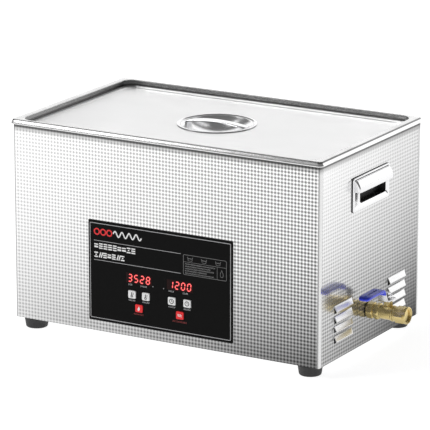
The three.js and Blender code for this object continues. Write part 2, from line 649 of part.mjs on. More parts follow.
function generator() {
  const low = FOOT_HEIGHT + 8;
  const board = box(-110, 80, -40, 70, low, low + 1.6);
  const parts = [
    box(-100, -60, 20, 60, low + 1, low + 32),
    rod('Z', 9, low + 1, low + 30, -35, 45, 16),
    rod('Z', 9, low + 1, low + 30, -12, 45, 16),
    rod('Z', 17, low + 1, low + 16, 45, 40, 20),
  ];
  add('generator_board', carve(board, [], parts), BOARD_GREEN, 0.5);
  const outline = [[-38, low + 2], [62, low + 2]];
  const fins = 9;
  for (let fin = fins - 1; fin >= 0; fin -= 1) {
    const x = -38 + fin * 12;
    outline.push([x + 4, low + 30], [x, low + 30]);
    if (fin > 0) outline.push([x, low + 6], [x - 8, low + 6]);
  }
  add('heat_sink', prismY(outline, -36, 14), ALUMINIUM, 0.4, 0.9);
}

// ---------- rear face: fan, inlet, switch, fuse ----------
function fan() {
  const back = BODY_HALF_Y - SHEET - GAP;
  const front = back - FAN.depth;
  const { x, z, half } = FAN;
  const frame = box(x - half, x + half, front, back, z - half, z + half);
  const mouth = rod('Y', FAN.hole, front - 1, back + 1, x, z, 32);
  const struts = [
    rod('Y', FAN.hub, front, front + 3, x, z, 20),
    box(x - FAN.hole - 1, x + FAN.hole + 1, front, front + 3, z - 2, z + 2),
    box(x - 2, x + 2, front, front + 3, z - FAN.hole - 1, z + FAN.hole + 1),
  ];
  let body = solid(frame).subtract(solid(mouth));
  for (const strut of struts) body = body.add(solid(strut));
  add('fan_frame', geometryOf(body), BLACK, 0.5);

  const hub = rod('Y', FAN.hub, front + 4, back - 3, x, z, 20);
  const blades = [];
  for (let k = 0; k < FAN.blades; k += 1) {
    const blade = new THREE.BoxGeometry(FAN.tip - FAN.hub + 3, 1.6, 17);
    blade.rotateX(0.7).translate((FAN.tip + FAN.hub - 3) / 2, 0, 0);
    blade.rotateY((k / FAN.blades) * Math.PI * 2).translate(x, (front + back) / 2 + 0.5, z);
    blades.push(blade);
  }
  add('fan_rotor', carve(hub, [], blades), BLACK, 0.4);

  const outside = BODY_HALF_Y + GAP;
  const wire = 0.9;
  const rings = [12, 22, 32].map((radius) => {
    const torus = new THREE.TorusGeometry(radius, wire, 4, 20);
    return torus.rotateX(Math.PI / 2).translate(x, outside + wire, z);
  });
  const spokes = [45, 135].map((degrees) => {
    const bar = new THREE.BoxGeometry(2 * 50.5, 1.4, 2.4);
    return bar.rotateY((degrees * Math.PI) / 180).translate(x, outside + 0.7, z);
  });
  add('fan_guard', carve(spokes[0], [], [spokes[1], ...rings]), STEEL, 0.3, 1);
}

function rearFittings() {
  const face = BODY_HALF_Y + GAP;
  const inside = BODY_HALF_Y - 20;
  const flange = plateY(INLET_X - 17, INLET_X + 17, REAR_Z - 13, REAR_Z + 13, face, face + 2.5, 3);
  const shell = box(INLET_X - 13.6, INLET_X + 13.6, inside, face + 1, REAR_Z - 9.9, REAR_Z + 9.9);
  const socket = box(INLET_X - 12, INLET_X + 12, inside + 3, face + 5, REAR_Z - 8.2, REAR_Z + 8.2);
  let inlet = solid(flange).add(solid(shell)).subtract(solid(socket));
  for (const [dx, dz] of [[-7, -2], [0, 2], [7, -2]]) {
    const x = INLET_X + dx;
    const z = REAR_Z + dz;
    inlet = inlet.add(solid(box(x - 1, x + 1, inside + 2, face - 5.5, z - 2, z + 2)));
  }
  add('power_inlet', geometryOf(inlet), BLACK, 0.5);

  const bezel = plateY(SWITCH_X - 12, SWITCH_X + 12, REAR_Z - 16, REAR_Z + 16, face, face + 1.6, 2);
  const can = box(SWITCH_X - 9.4, SWITCH_X + 9.4, inside, face + 1, REAR_Z - 12.9, REAR_Z + 12.9);
  const well = box(SWITCH_X - 7.6, SWITCH_X + 7.6, inside + 4, face + 5, REAR_Z - 11, REAR_Z + 11);
  add('switch_frame', carve(bezel, [well], [can]), BLACK, 0.4);
  const rocker = prismX([[-5, -5.5], [-5, 5.5], [7.6, 8.8], [5.6, 0], [7.6, -8.8]], -7.2, 7.2);
  rocker.rotateX(Math.PI / 18).translate(SWITCH_X, ROCKER_Y, REAR_Z);
  add('switch_rocker', rocker, 0x16161a, 0.3);

  const holder = [
    [0, inside - 6], [5.8, inside - 6], [5.8, face], [8, face], [8, face + 1.6], [6.2, face + 2.4],
    [6, face + 3.4], [0, face + 3.4],
  ];
  add('fuse_holder', turned('Y', holder, FUSE_X, REAR_Z, 20), BLACK, 0.4);
}

// ---------- assembly ----------
frontPanel();
sidePanels();
rearPanel();
basePlate();
tank();
lid();
feet();
controls();
handles();
drain();
valve();
transducers();
heaters();
generator();
fan();
rearFittings();

// The body's centre moves so that handle and valve reach equally far from the origin.
const reachLeft = BODY_HALF_X + GAP + HANDLE.plate + HANDLE.hoodProud;
assembly.position.x = (reachLeft - VALVE.end[1]) / 2;

const model = new THREE.Group();
model.add(assembly);

export default model;
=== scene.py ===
# %% [markdown]
# # A bench-top ultrasonic cleaner, piece by piece
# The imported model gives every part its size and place. This script keeps those sizes and
# makes the surfaces that a person sees: embossed steel, a drawn rim, a printed control
# panel, a brass valve. Every new shape is a surface worked out with numpy.

# %% Load the frame
import math
import bpy
import bmesh
import numpy as np
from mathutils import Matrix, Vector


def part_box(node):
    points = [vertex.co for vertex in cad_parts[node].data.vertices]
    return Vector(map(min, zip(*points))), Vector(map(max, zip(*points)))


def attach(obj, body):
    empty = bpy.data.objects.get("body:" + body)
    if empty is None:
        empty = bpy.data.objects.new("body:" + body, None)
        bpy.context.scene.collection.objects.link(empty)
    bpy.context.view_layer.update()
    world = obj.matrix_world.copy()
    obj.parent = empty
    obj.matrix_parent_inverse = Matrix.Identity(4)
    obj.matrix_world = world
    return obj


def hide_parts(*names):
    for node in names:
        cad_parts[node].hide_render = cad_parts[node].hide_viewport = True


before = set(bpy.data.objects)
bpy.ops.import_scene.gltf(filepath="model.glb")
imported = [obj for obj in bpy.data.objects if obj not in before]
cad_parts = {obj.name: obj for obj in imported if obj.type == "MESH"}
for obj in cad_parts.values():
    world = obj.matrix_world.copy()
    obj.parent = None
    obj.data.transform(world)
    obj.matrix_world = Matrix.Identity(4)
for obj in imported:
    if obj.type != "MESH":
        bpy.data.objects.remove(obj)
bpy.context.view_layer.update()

MM = 0.001

# %% [markdown]
# The case is centred on its own middle, but the model's origin also counts the valve that
# sticks out on one side. So lengths here are millimetres from the middle of the case, and
# one shift along X brings them into the model's frame.

# %% Sizes from the frame
front_low, front_high = (np.array(corner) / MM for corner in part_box("front_panel"))
SHIFT = (front_low[0] + front_high[0]) / 2


def cad(node):
    """A node's lowest and highest corner, in millimetres from the middle of the case."""
    low, high = (np.array(corner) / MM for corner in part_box(node))
    return low - (SHIFT, 0, 0), high - (SHIFT, 0, 0)


def middle(node):
    """The middle of a node's box."""
    low, high = cad(node)
    return (low + high) / 2


CASE_LOW, CASE_HIGH = cad("front_panel")
HALF_X = CASE_HIGH[0]
FRONT_Y = CASE_LOW[1]
HALF_Y = -FRONT_Y
CASE_Z = CASE_LOW[2]
SHEET_TOP = CASE_HIGH[2]
TANK_LOW, TANK_HIGH = cad("tank")
RIM_TOP = TANK_HIGH[2]
print("case half width, half depth, rim height:", HALF_X, HALF_Y, RIM_TOP)

# %% [markdown]
# ## Camera
# A long lens far away keeps the upright edges nearly parallel and the far end of the case
# nearly as tall as the near one, so the linen pattern keeps an even size.
# The camera stands 30 degrees round to the right and 15 degrees above the bench.

# %% Camera
CAMERA_TURN = math.radians(30.08)
CAMERA_RISE = math.radians(15.33)
CAMERA_FAR = 5.109
LENS = 279.25
aim = np.array([SHIFT - 3.45, 0.0, 176.5]) * MM
back = np.array([
    math.sin(CAMERA_TURN) * math.cos(CAMERA_RISE),
    -math.cos(CAMERA_TURN) * math.cos(CAMERA_RISE),
    math.sin(CAMERA_RISE),
])
camera_data = bpy.data.cameras.new("camera")
camera_data.lens = LENS
camera_data.clip_end = 100
camera = bpy.data.objects.new("camera", camera_data)
camera.location = aim + back * CAMERA_FAR
camera.rotation_euler = (math.pi / 2 - CAMERA_RISE, 0, CAMERA_TURN)
bpy.context.collection.objects.link(camera)
bpy.context.scene.camera = camera
print("camera at", [round(v, 3) for v in camera.location])

# %% [markdown]
# ## Shader maths
# A small class wraps a shader socket, so that a pattern can be written as a formula. Each
# operator adds one Math node; the reflected forms let a plain number stand on the left.

# %% Values


class Value:
    """A number that varies over a surface: one output socket and the finish it belongs to."""

    def __init__(self, finish, socket):
        self.finish = finish
        self.socket = socket

    def math(self, operation, *others):
        values = {n: other for n, other in enumerate((self,) + others)}
        return self.finish.add("ShaderNodeMath", {"operation": operation}, values)

    def __add__(self, other):
        return self.math("ADD", other)

    def __sub__(self, other):
        return self.math("SUBTRACT", other)

    def __rsub__(self, other):
        return self.finish.add("ShaderNodeMath", {"operation": "SUBTRACT"}, {0: other, 1: self})

    def __mul__(self, other):
        return self.math("MULTIPLY", other)

    def __truediv__(self, other):
        return self.math("DIVIDE", other)

    def __abs__(self):
        return self.math("ABSOLUTE")

    __radd__ = __add__
    __rmul__ = __mul__

    def cosine(self):
        return self.math("COSINE")

    def below(self, edge, soft):
        """1 where the value is under the edge, 0 above, over a soft band."""
        return self.finish.add("ShaderNodeMapRange", {"interpolation_type": "SMOOTHSTEP"}, {
            "Value": self, "From Min": edge - soft, "From Max": edge + soft, "To Min": 1.0, "To Max": 0.0})


print("shader maths ready")

# %% [markdown]
# A finish is one procedural material. It has one way to add a node of any type, and a few
# short helpers for what this object needs: places on the surface, noise, colour blends and
# a faint bump. Coordinates are the object's own, so a pattern stays on its part.

# %% Finishes


class Finish:
    """One procedural material. Sockets that stay the same everywhere are set straight on the shader."""

    def __init__(self, name, color, **constants):
        self.material = bpy.data.materials.new(name)
        self.material.use_nodes = True
        self.tree = self.material.node_tree
        self.shader = self.tree.nodes["Principled BSDF"]
        self.set("Base Color", color)
        for socket, value in constants.items():
            self.set(socket.replace("_", " ").title(), value)

    def set(self, socket, value):
        """Links a value, or sets a colour or a number, on one socket of the shader."""
        if isinstance(value, Value):
            self.tree.links.new(value.socket, self.shader.inputs[socket])
        elif isinstance(value, tuple) and len(value) == 3:
            self.shader.inputs[socket].default_value = (*value, 1.0)
        else:
            self.shader.inputs[socket].default_value = value

    def add(self, kind, settings=None, values=None, out=0):
        """Adds a node, sets its settings first, then gives its sockets values or links."""
        node = self.tree.nodes.new(kind)
        for key, setting in (settings or {}).items():
            setattr(node, key, setting)
        for key, value in (values or {}).items():
            if isinstance(value, Value):
                self.tree.links.new(value.socket, node.inputs[key])
            elif isinstance(value, tuple) and len(value) == 3 and node.inputs[key].type == "RGBA":
                node.inputs[key].default_value = (*value, 1.0)
            else:
                node.inputs[key].default_value = value
        return Value(self, node.outputs[out])

    def place(self, centre=(0, 0, 0), scale=(1, 1, 1)):
        """Object coordinates, centred and scaled."""
        where = self.add("ShaderNodeTexCoord", out=3)
        moved = self.add("ShaderNodeVectorMath", {"operation": "SUBTRACT"}, {0: where, 1: tuple(centre)})
        return self.add("ShaderNodeMapping", {}, {0: moved, "Scale": scale})

    def axes(self, centre=(0, 0, 0)):
        """The three object coordinates as separate values, in metres."""
        node = self.add("ShaderNodeSeparateXYZ", {}, {0: self.place(centre)})
        outputs = node.socket.node.outputs
        return [Value(self, outputs[k]) for k in range(3)]

    def noise(self, scale, detail=3.0, stretch=(1, 1, 1)):
        """Soft noise; stretch packs it along an axis, which gives fine lines across that axis."""
        return self.add("ShaderNodeTexNoise", {}, {
            "Vector": self.place(scale=stretch), "Scale": scale, "Detail": detail})

    def blend(self, factor, first, second):
        """Mixes two colours: the first at 0, the second at 1."""
        return self.add("ShaderNodeMix", {"data_type": "RGBA"}, {0: factor, 6: first, 7: second}, out=2)

    def spread(self, value, low, high, start=0.0, end=1.0):
        """Stretches a value from start..end to low..high."""
        return self.add("ShaderNodeMapRange", {}, {
            "Value": value, "From Min": start, "From Max": end, "To Min": low, "To Max": high})

    def bump(self, height, strength, distance):
        """Tilts the surface's normal as if the value were a height."""
        self.set("Normal", self.add("ShaderNodeBump", {}, {
            "Height": height, "Strength": strength, "Distance": distance}))


print("shader tools ready")

# %% [markdown]
# ## Shape tools
# A stack of rings, all with the same number of points, is joined into a skin. Turned
# parts, drawn tanks, bent strips and pressed plates are all such stacks.

# %% Places, rings and skins
TOP = np.array([[1, 0, 0], [0, 1, 0], [0, 0, 1]], float)
FRONT = np.array([[1, 0, 0], [0, 0, 1], [0, -1, 0]], float)
RIGHT = np.array([[0, 1, 0], [0, 0, 1], [1, 0, 0]], float)
LEFT = np.array([[0, -1, 0], [0, 0, 1], [-1, 0, 0]], float)


def rounded_ring(half_u, half_v, radius, height=0.0, steps=6, centre=(0, 0)):
    """A rounded rectangle: each corner is a quarter circle about a point set in by the radius."""
    turn = np.linspace(0, math.pi / 2, steps + 1)
    angle = (turn[None, :] + np.arange(4)[:, None] * math.pi / 2).ravel()
    side_u = np.repeat([1, -1, -1, 1], steps + 1)
    side_v = np.repeat([1, 1, -1, -1], steps + 1)
    u = centre[0] + side_u * (half_u - radius) + radius * np.cos(angle)
    v = centre[1] + side_v * (half_v - radius) + radius * np.sin(angle)
    return np.stack([u, v, np.full_like(u, height)], -1)


def skin(rings, closed=False):
    """Joins each ring to the next with quads; open stacks get a flat cap on both ends."""
    rings = np.asarray(rings, float)
    count, points = rings.shape[:2]
    row = np.arange(count if closed else count - 1)[:, None]
    column = np.arange(points)[None, :]
    after = (column + 1) % points
    above = (row + 1) % count
    quads = np.stack(np.broadcast_arrays(
        row * points + column, row * points + after, above * points + after, above * points + column), -1)
    faces = [quads.reshape(-1, 4)]
    if not closed:
        faces.append(np.arange(points)[None, ::-1])
        faces.append((count - 1) * points + np.arange(points)[None, :])
    return rings.reshape(-1, 3), faces


def sheet_grid(points):
    """An open surface over a grid of points (rows, columns, 3)."""
    rows, columns = points.shape[:2]
    index = np.arange(rows * columns).reshape(rows, columns)
    quads = np.stack([index[:-1, :-1], index[:-1, 1:], index[1:, 1:], index[1:, :-1]], -1)
    return points.reshape(-1, 3), [quads.reshape(-1, 4)]


def put(part, axes, centre=(0, 0, 0)):
    """Moves a part from its own (across, up, out) lengths to a face of the case."""
    points, faces = part
    return points @ axes + np.asarray(centre, float), faces


def turned(profile, axes, centre, sides=48, closed=False):
    """A turned part: each (radius, height) pair of the profile becomes a circle."""
    profile = np.asarray(profile, float)
    angle = np.arange(sides) * 2 * math.pi / sides
    u = profile[:, :1] * np.cos(angle)
    v = profile[:, :1] * np.sin(angle)
    w = np.broadcast_to(profile[:, 1:], u.shape)
    return put(skin(np.stack([u, v, w], -1), closed), axes, centre)


print("ring, skin and turning tools ready")

# %% [markdown]
# Plates, printed lines and bent strips repeat all over the object: a plate with a rolled
# edge makes keys and windows, a flat ribbon makes print, and a section carried along a path
# makes the lever and the strap. Each is again a stack of rings.

# %% Plates, lines and strips


def pad(half_u, half_v, radius, low, high, edge, axes, centre, steps=6):
    """A rounded plate whose outer edge is rolled over by a quarter circle."""
    roll = np.linspace(0, math.pi / 2, 5)
    rings = [rounded_ring(half_u, half_v, radius, low, steps)]
    for angle in roll:
        inset = edge * (1 - math.cos(angle))
        height = high - edge + edge * math.sin(angle)
        rings.append(rounded_ring(half_u - inset, half_v - inset, max(radius - inset, 0.05), height, steps))
    return put(skin(rings), axes, centre)


def ribbon(path, width, low, high, closed=False):
    """A flat printed line: the path moved to both sides by half its width, with a little thickness."""
    path = np.asarray(path, float)
    ahead = np.roll(path, -1, 0) - np.roll(path, 1, 0)
    if not closed:
        ahead[0], ahead[-1] = path[1] - path[0], path[-1] - path[-2]
    ahead /= np.maximum(np.linalg.norm(ahead, axis=1, keepdims=True), 1e-9)
    side = np.stack([-ahead[:, 1], ahead[:, 0]], -1) * width / 2
    left, right = path + side, path - side
    corner = [np.column_stack([p, np.full(len(p), h)]) for p, h in (
        (left, low), (right, low), (right, high), (left, high))]
    return skin(np.stack(corner, 1), closed)


def arc(centre, radius, start, end, count=24):
    """Points on a circle between two angles in degrees."""
    angle = np.radians(np.linspace(start, end, count))
    return np.stack([centre[0] + radius * np.cos(angle), centre[1] + radius * np.sin(angle)], -1)


def slab(outline, low, high):
    """A flat shape with a little thickness: its outline at two heights."""
    outline = np.asarray(outline, float)
    return skin([np.column_stack([outline, np.full(len(outline), h)]) for h in (low, high)])


def carried(section, path, across):
    """A section (points of side, up) carried along a path in one plane; across is that plane's normal."""
    path = np.asarray(path, float)
    section = np.asarray(section, float)
    if section.ndim == 2:
        section = np.broadcast_to(section, (len(path),) + section.shape)
    across = np.asarray(across, float)
    ahead = np.gradient(path, axis=0)
    ahead /= np.linalg.norm(ahead, axis=1, keepdims=True)
    up = np.cross(ahead, across)
    return skin(path[:, None] + section[..., :1] * across + section[..., 1:] * up[:, None])


print("plate, line and strip tools ready")

# %% [markdown]
# Every new piece goes through one function: it joins its parts into one mesh, welds points
# that meet, turns the faces outwards, gives the mesh its finish, rides it on its body and
# hides the plain nodes it stands for. Parts whose plain shape is right are only dressed in
# a finish.

# %% From arrays to a piece


def piece(name, parts, finish, body="housing", stands_for=(), sharp=38.0, wall=0.0):
    """Joins parts into one object at the origin, welds doubles, turns faces outwards, and rides it."""
    points = np.concatenate([part[0] for part in parts]) + (SHIFT, 0, 0)
    faces = []
    start = 0
    for part_points, part_faces in parts:
        faces += [block + start for block in part_faces]
        start += len(part_points)
    sizes = np.concatenate([np.full(len(block), block.shape[1]) for block in faces])
    corners = np.concatenate([block.ravel() for block in faces])
    mesh = bpy.data.meshes.new(name)
    mesh.vertices.add(len(points))
    mesh.vertices.foreach_set("co", (points * MM).astype(np.float32).ravel())
    mesh.loops.add(len(corners))
    mesh.loops.foreach_set("vertex_index", corners.astype(np.int32))
    mesh.polygons.add(len(sizes))
    mesh.polygons.foreach_set("loop_start", np.concatenate([[0], np.cumsum(sizes)[:-1]]).astype(np.int32))
    mesh.update(calc_edges=True)
    work = bmesh.new()
    work.from_mesh(mesh)
    bmesh.ops.remove_doubles(work, verts=work.verts, dist=1e-6)
    loose = [v for v in work.verts if not v.link_faces]
    bmesh.ops.delete(work, geom=loose, context="VERTS")
    bmesh.ops.recalc_face_normals(work, faces=work.faces)
    work.to_mesh(mesh)
    work.free()
    mesh.polygons.foreach_set("use_smooth", np.ones(len(mesh.polygons), bool))
    mesh.set_sharp_from_angle(angle=math.radians(sharp))
    mesh.materials.append(finish.material)
    made = bpy.data.objects.new(name, mesh)
    bpy.context.collection.objects.link(made)
    if wall:
        thick = made.modifiers.new("wall", "SOLIDIFY")
        thick.thickness = wall * MM
        thick.offset = -1.0
    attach(made, body)
    if stands_for:
        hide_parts(*stands_for)
    return made


def dress(finish, *nodes):
    """Gives CAD nodes whose shape is right a finish."""
    for node in nodes:
        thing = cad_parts[node]
        if not thing.material_slots:
            thing.data.materials.append(finish.material)
        for entry in thing.material_slots:
            entry.material = finish.material


print("piece tools ready")

# %% [markdown]
# ## Steel finishes
# The case is stainless sheet rolled with a linen pattern: a square grid of fine grooves,
# deepest where two grooves cross. The pattern is in the mesh as well as in the material.
# The material paints shade into grooves and crossings with the same cosine waves. It also
# paints in what a mirror-like sheet shows of a room: a slow fall of brightness towards its
# far lower corner, a shadow under the overhanging lip and a bright strip at the bend.

# %% The linen pattern
PITCH = 5.6
CASE_HEIGHT = SHEET_TOP - CASE_Z
GROOVE_DEPTH = 0.008
DIMPLE_DEPTH = 0.02


def linen(u, v):
    """Depth of the pattern: both grooves are squared cosine waves, and their product is the dimple."""
    along = (0.5 + 0.5 * np.cos(2 * math.pi * u / PITCH)) ** 2
    upward = (0.5 + 0.5 * np.cos(2 * math.pi * v / PITCH)) ** 2
    return -GROOVE_DEPTH * (along + upward) - DIMPLE_DEPTH * along * upward


def linen_steel(name, across, plain_from, fade, contrast):
    """Embossed stainless steel. across is the axis along the sheet: 0 for X, 1 for Y.

    run goes from 0 to 1 along the sheet, and fall from 0 at its top to 1 at its foot.
    Painted light: brightness is 1 - fade[0] * run - fade[1] * fall squared - fade[2] * run * fall squared.
    The painted shade in grooves and dimples has the strength contrast[0] + contrast[1] * run + contrast[2] *
    fall.
    """
    finish = Finish(name, (0.7, 0.7, 0.7), metallic=0.85)
    axes = finish.axes((SHIFT * MM, 0, CASE_Z * MM))
    wave = 2 * math.pi / (PITCH * MM)
    along = (axes[across] * wave).cosine() * 0.5 + 0.5
    upward = (axes[2] * wave).cosine() * 0.5 + 0.5
    inside = abs(axes[across]).below(plain_from * MM, 0.0006)
    dimple = along * upward * inside
    groove = (along + upward) * 0.5 * inside
    run = axes[across] / (2 * plain_from * MM) + 0.5
    fall = 1.0 - axes[2] / (CASE_HEIGHT * MM)
    cloud = finish.spread(finish.noise(9.0, 3.0), -0.02, 0.02, 0.3, 0.7)
    deep = fall * fall
    # Painted light: shade falls off along the sheet and towards its foot, as light does over a mirror-like
    # sheet.
    shade = 1.0 - run * fade[0] - deep * fade[1] - run * deep * fade[2] + cloud
    # strong sets how deep the painted shade in grooves and dimples is; it grows along the sheet and
    # downwards.
    strong = run * contrast[1] + fall * contrast[2] + contrast[0]
    # lip_shade is a painted shadow under the overhanging lip, with a darker line right under its edge.
    lip_shade = (1.0 - fall.below(0.034, 0.02) * 0.6) * (1.0 - fall.below(0.0215, 0.002) * 0.62)
    # pattern paints shade into the grooves and dimples and lightens the pillows between them.
    pattern = (1.0 - groove * strong * 0.95) * (1.0 - dimple * strong * 0.75) * (1.0 + strong * 0.28)
    value = shade * lip_shade * pattern
    # On the plain strip at the bend the colour is painted light: a bright strip with a painted dark line
    # along its inner side.
    margin = 1.0 - inside
    edge = abs(axes[across]).below((plain_from + 1.9) * MM, 0.0003)
    value = value * inside + margin * lip_shade * (0.8 - edge * 0.45)
    finish.set("Base Color", finish.blend(value, (0.0, 0.0, 0.0), (1.0, 1.0, 1.0)))
    grain = finish.noise(900.0, 2.0)
    finish.set("Roughness", finish.spread(grain, 0.10, 0.15, 0.3, 0.7) + dimple * 0.12)
    return finish


linen_front = linen_steel("linen_steel_front", 0, HALF_X - 3.2, (0.03, 0.28, 0.52), (0.28, 0.56, 0.08))
linen_side = linen_steel("linen_steel_side", 1, HALF_Y - 5.0, (0.20, 0.46, 0.36), (0.12, 0.14, 0.55))
linen_left = linen_steel("linen_steel_left", 1, HALF_Y - 5.0, (-0.1, 0.25, 0.10), (0.20, 0.10, 0.30))
print("linen steel for three sheets, pattern repeat", PITCH)

# %% [markdown]
# Smooth steel parts are brushed or polished: the same recipe with a different colour and
# roughness. The rim is one drawn part; its finish paints shade on the recess wall, its foot,
# crest and left end and along the rolled corner, and paints the lip face lighter, placed by
# the height below the rim's top.

# %% Smooth steels


def brushed(name, color, dark, rough=(0.22, 0.36), stretch=(1, 60, 60), scale=30.0, metallic=1.0):
    """Steel with fine parallel scratches: a stretched noise drives roughness and a faint bump."""
    finish = Finish(name, color, metallic=metallic)
    lines = finish.noise(scale, 4.0, stretch)
    cloud = finish.noise(7.0, 2.0)
    finish.set("Base Color", finish.blend(finish.spread(cloud, 0.0, 1.0, 0.35, 0.65), color, dark))
    finish.set("Roughness", finish.spread(lines, *rough, 0.3, 0.7))
    finish.bump(lines, 0.03, 0.0002)
    return finish


def rim_steel(name):
    """Drawn steel with painted shade on the recess wall, at its foot, on its crest and along the rolled
    corner, and a painted highlight on the lip face.
    """
    finish = Finish(name, (0.8, 0.8, 0.8), metallic=1.0)
    x, y, z = finish.axes((SHIFT * MM, 0, 0))

    def deeper(millimetres, soft):
        return z.below((RIM_TOP - millimetres) * MM, soft)

    # The masks below place painted shade and a painted highlight by height: the recess wall, its foot band,
    # the crest and the left wall darker, a dark line along the rolled corner, the lip face lighter.
    inside = abs(x).below((HALF_X - 8.0) * MM, 0.0015) * abs(y).below((HALF_Y - 3.8) * MM, 0.0005)
    outside = 1.0 - inside
    wall = inside * deeper(0.7, 0.0004)
    foot = inside * deeper(5.6, 0.0008) * (1.0 - deeper(12.0, 0.002))
    crest = inside * deeper(0.3, 0.0002) * (1.0 - deeper(1.5, 0.0002))
    left = wall * x.below((40.0 - HALF_X) * MM, 0.01)
    corner = outside * deeper(0.15, 0.0002) * (1.0 - deeper(2.0, 0.0002))
    face = outside * deeper(2.2, 0.0004)
    cloud = finish.spread(finish.noise(9.0, 3.0), 0.69, 0.75, 0.3, 0.7)
    # inner, corner and face turn these masks into painted shade and a painted highlight.
    inner = (1.0 - wall * 0.12) * (1.0 - foot * 0.62) * (1.0 - crest * 0.35) * (1.0 - left * 0.45)
    value = cloud * inner * (1.0 - corner * 0.72) * (1.0 + face * 0.25)
    finish.set("Base Color", finish.blend(value, (0.0, 0.0, 0.0), (1.0, 1.0, 1.0)))
    finish.set("Roughness", finish.spread(finish.noise(40.0, 4.0, (1, 1, 60)), 0.2, 0.3, 0.3, 0.7))
    return finish


plain_steel = brushed("plain_steel", (0.62, 0.625, 0.63), (0.54, 0.545, 0.55))
tank_steel = rim_steel("tank_steel")
lid_steel = brushed("lid_steel", (0.91, 0.91, 0.91), (0.88, 0.88, 0.88), (0.30, 0.40), (1, 50, 50), 25.0)
polished = brushed("polished_steel", (0.90, 0.90, 0.905), (0.84, 0.84, 0.85), (0.07, 0.14), (20, 20, 1), 20.0)
print("steel finishes ready")

# %% [markdown]
# ## The case sheets
# Each sheet is a grid. The outside has four squares to every repeat of the pattern, and
# the plain inside only one, so a wall polygon along each free edge has five points
# outside and two inside. Grid lines are moved onto the edges of openings, and the
# squares inside an opening are left out.

# %% An embossed sheet
FINE = 4
SHEET = 1.2


def grid_lines(low, high, edges):
    """Lines one pattern repeat apart between two limits, with the nearest line moved to each edge."""
    between = np.arange(math.ceil(low / PITCH + 0.3), high / PITCH - 0.3) * PITCH
    lines = np.concatenate([[low], between, [high]])
    for edge in edges:
        inner = 1 + np.argmin(np.abs(lines[1:-1] - edge))
        lines[inner] = edge
    return lines


def finer(lines):
    """Splits each step between lines into equal smaller steps."""
    steps = np.arange(FINE) / FINE
    return np.append((lines[:-1, None] + np.diff(lines)[:, None] * steps).ravel(), lines[-1])


def embossed(lines_u, lines_v, surface, openings, plain):
    """A sheet with openings and a pattern pressed in from outside.

    surface(u, v, depth) gives points, each opening is (low u, high u, low v, high v), and
    plain(u, v) is 1 on the patterned field and 0 on smooth bands.
    """
    fine_u, fine_v = np.meshgrid(finer(lines_u), finer(lines_v), indexing="ij")
    coarse_u, coarse_v = np.meshgrid(lines_u, lines_v, indexing="ij")
    outside = surface(fine_u, fine_v, linen(fine_u, fine_v) * plain(fine_u, fine_v))
    inside = surface(coarse_u, coarse_v, np.full(coarse_u.shape, -SHEET))
    mid_u = (lines_u[:-1] + lines_u[1:])[:, None] / 2
    mid_v = (lines_v[:-1] + lines_v[1:])[None, :] / 2
    kept = np.ones((len(lines_u) - 1, len(lines_v) - 1), bool)
    for low_u, high_u, low_v, high_v in openings:
        kept &= ~((mid_u > low_u) & (mid_u < high_u) & (mid_v > low_v) & (mid_v < high_v))
    out_index = np.arange(fine_u.size).reshape(fine_u.shape)
    in_index = fine_u.size + np.arange(coarse_u.size).reshape(coarse_u.shape)

    def quads(index, keep):
        block = np.stack([index[:-1, :-1], index[1:, :-1], index[1:, 1:], index[:-1, 1:]], -1)
        return block[keep]

    faces = [quads(out_index, np.kron(kept, np.ones((FINE, FINE), bool))), quads(in_index, kept)[:, ::-1]]
    for swap in (False, True):
        keep = kept.T if swap else kept
        outer = out_index.T if swap else out_index
        inner = in_index.T if swap else in_index
        framed = np.pad(keep, ((1, 1), (0, 0)))
        line, cell = np.nonzero(framed[1:] != framed[:-1])
        along = outer[line[:, None] * FINE, cell[:, None] * FINE + np.arange(FINE + 1)]
        faces.append(np.column_stack([along, inner[line, cell + 1], inner[line, cell]]))
    return np.concatenate([outside.reshape(-1, 3), inside.reshape(-1, 3)]), faces


print("embossing tool ready")

# %% [markdown]
# The front sheet is bent back round both upright edges. The bend is part of the surface
# formula: past the flat stretch a point turns about the bend's centre, and then runs back
# along the side. The pattern fades out before the bend, which leaves a plain edge; the
# finish paints it as a bright strip with a dark line along its inner side.

# %% Front sheet
BEND = 3.0
FLAT = HALF_X - BEND
ARC = BEND * math.pi / 2
RETURN = (CASE_HIGH[1] - FRONT_Y) - BEND
board_low, board_high = cad("control_board")


def front_surface(u, v, depth):
    """Flat, then a quarter turn, then straight back: position on the path plus depth along its normal."""
    side = np.sign(u)
    past = np.clip(np.abs(u) - FLAT, 0, ARC) / BEND
    run = np.clip(np.abs(u) - FLAT - ARC, 0, None)
    normal_x, normal_y = side * np.sin(past), -np.cos(past)
    x = np.clip(u, -FLAT, FLAT) + (BEND + depth) * normal_x
    y = FRONT_Y + BEND + (BEND + depth) * normal_y + run
    return np.stack([x, y, v + CASE_Z], -1)


control_opening = (board_low[0] + 12, board_high[0] - 12, 40.0, 104.0)
flat_lines = grid_lines(-FLAT, FLAT, control_opening[:2])
ends = [FLAT + ARC, FLAT + ARC + RETURN]
front_u = np.concatenate([[-ends[1], -ends[0]], flat_lines, ends])
front_v = grid_lines(0.0, CASE_HEIGHT, control_opening[2:])


def fades(u, v, limit):
    """1 on the patterned field, falling to 0 over half a millimetre at its borders."""
    side = np.clip((limit - np.abs(u)) / 0.5, 0, 1)
    ends = np.clip(np.minimum(v, CASE_HEIGHT - v) / 0.5, 0, 1)
    return side * ends


piece("front_sheet", [embossed(front_u, front_v, front_surface, [control_opening],
                               lambda u, v: fades(u, v, FLAT - 0.6))],
      linen_front, stands_for=["front_panel"], sharp=60)
print("front sheet columns and rows:", len(front_u), len(front_v))

# %% [markdown]
# The side sheets are flat. Each has two columns of louvres low down and a mouth for the
# pull handle near the top, and the right one also lets the drain pipe through.

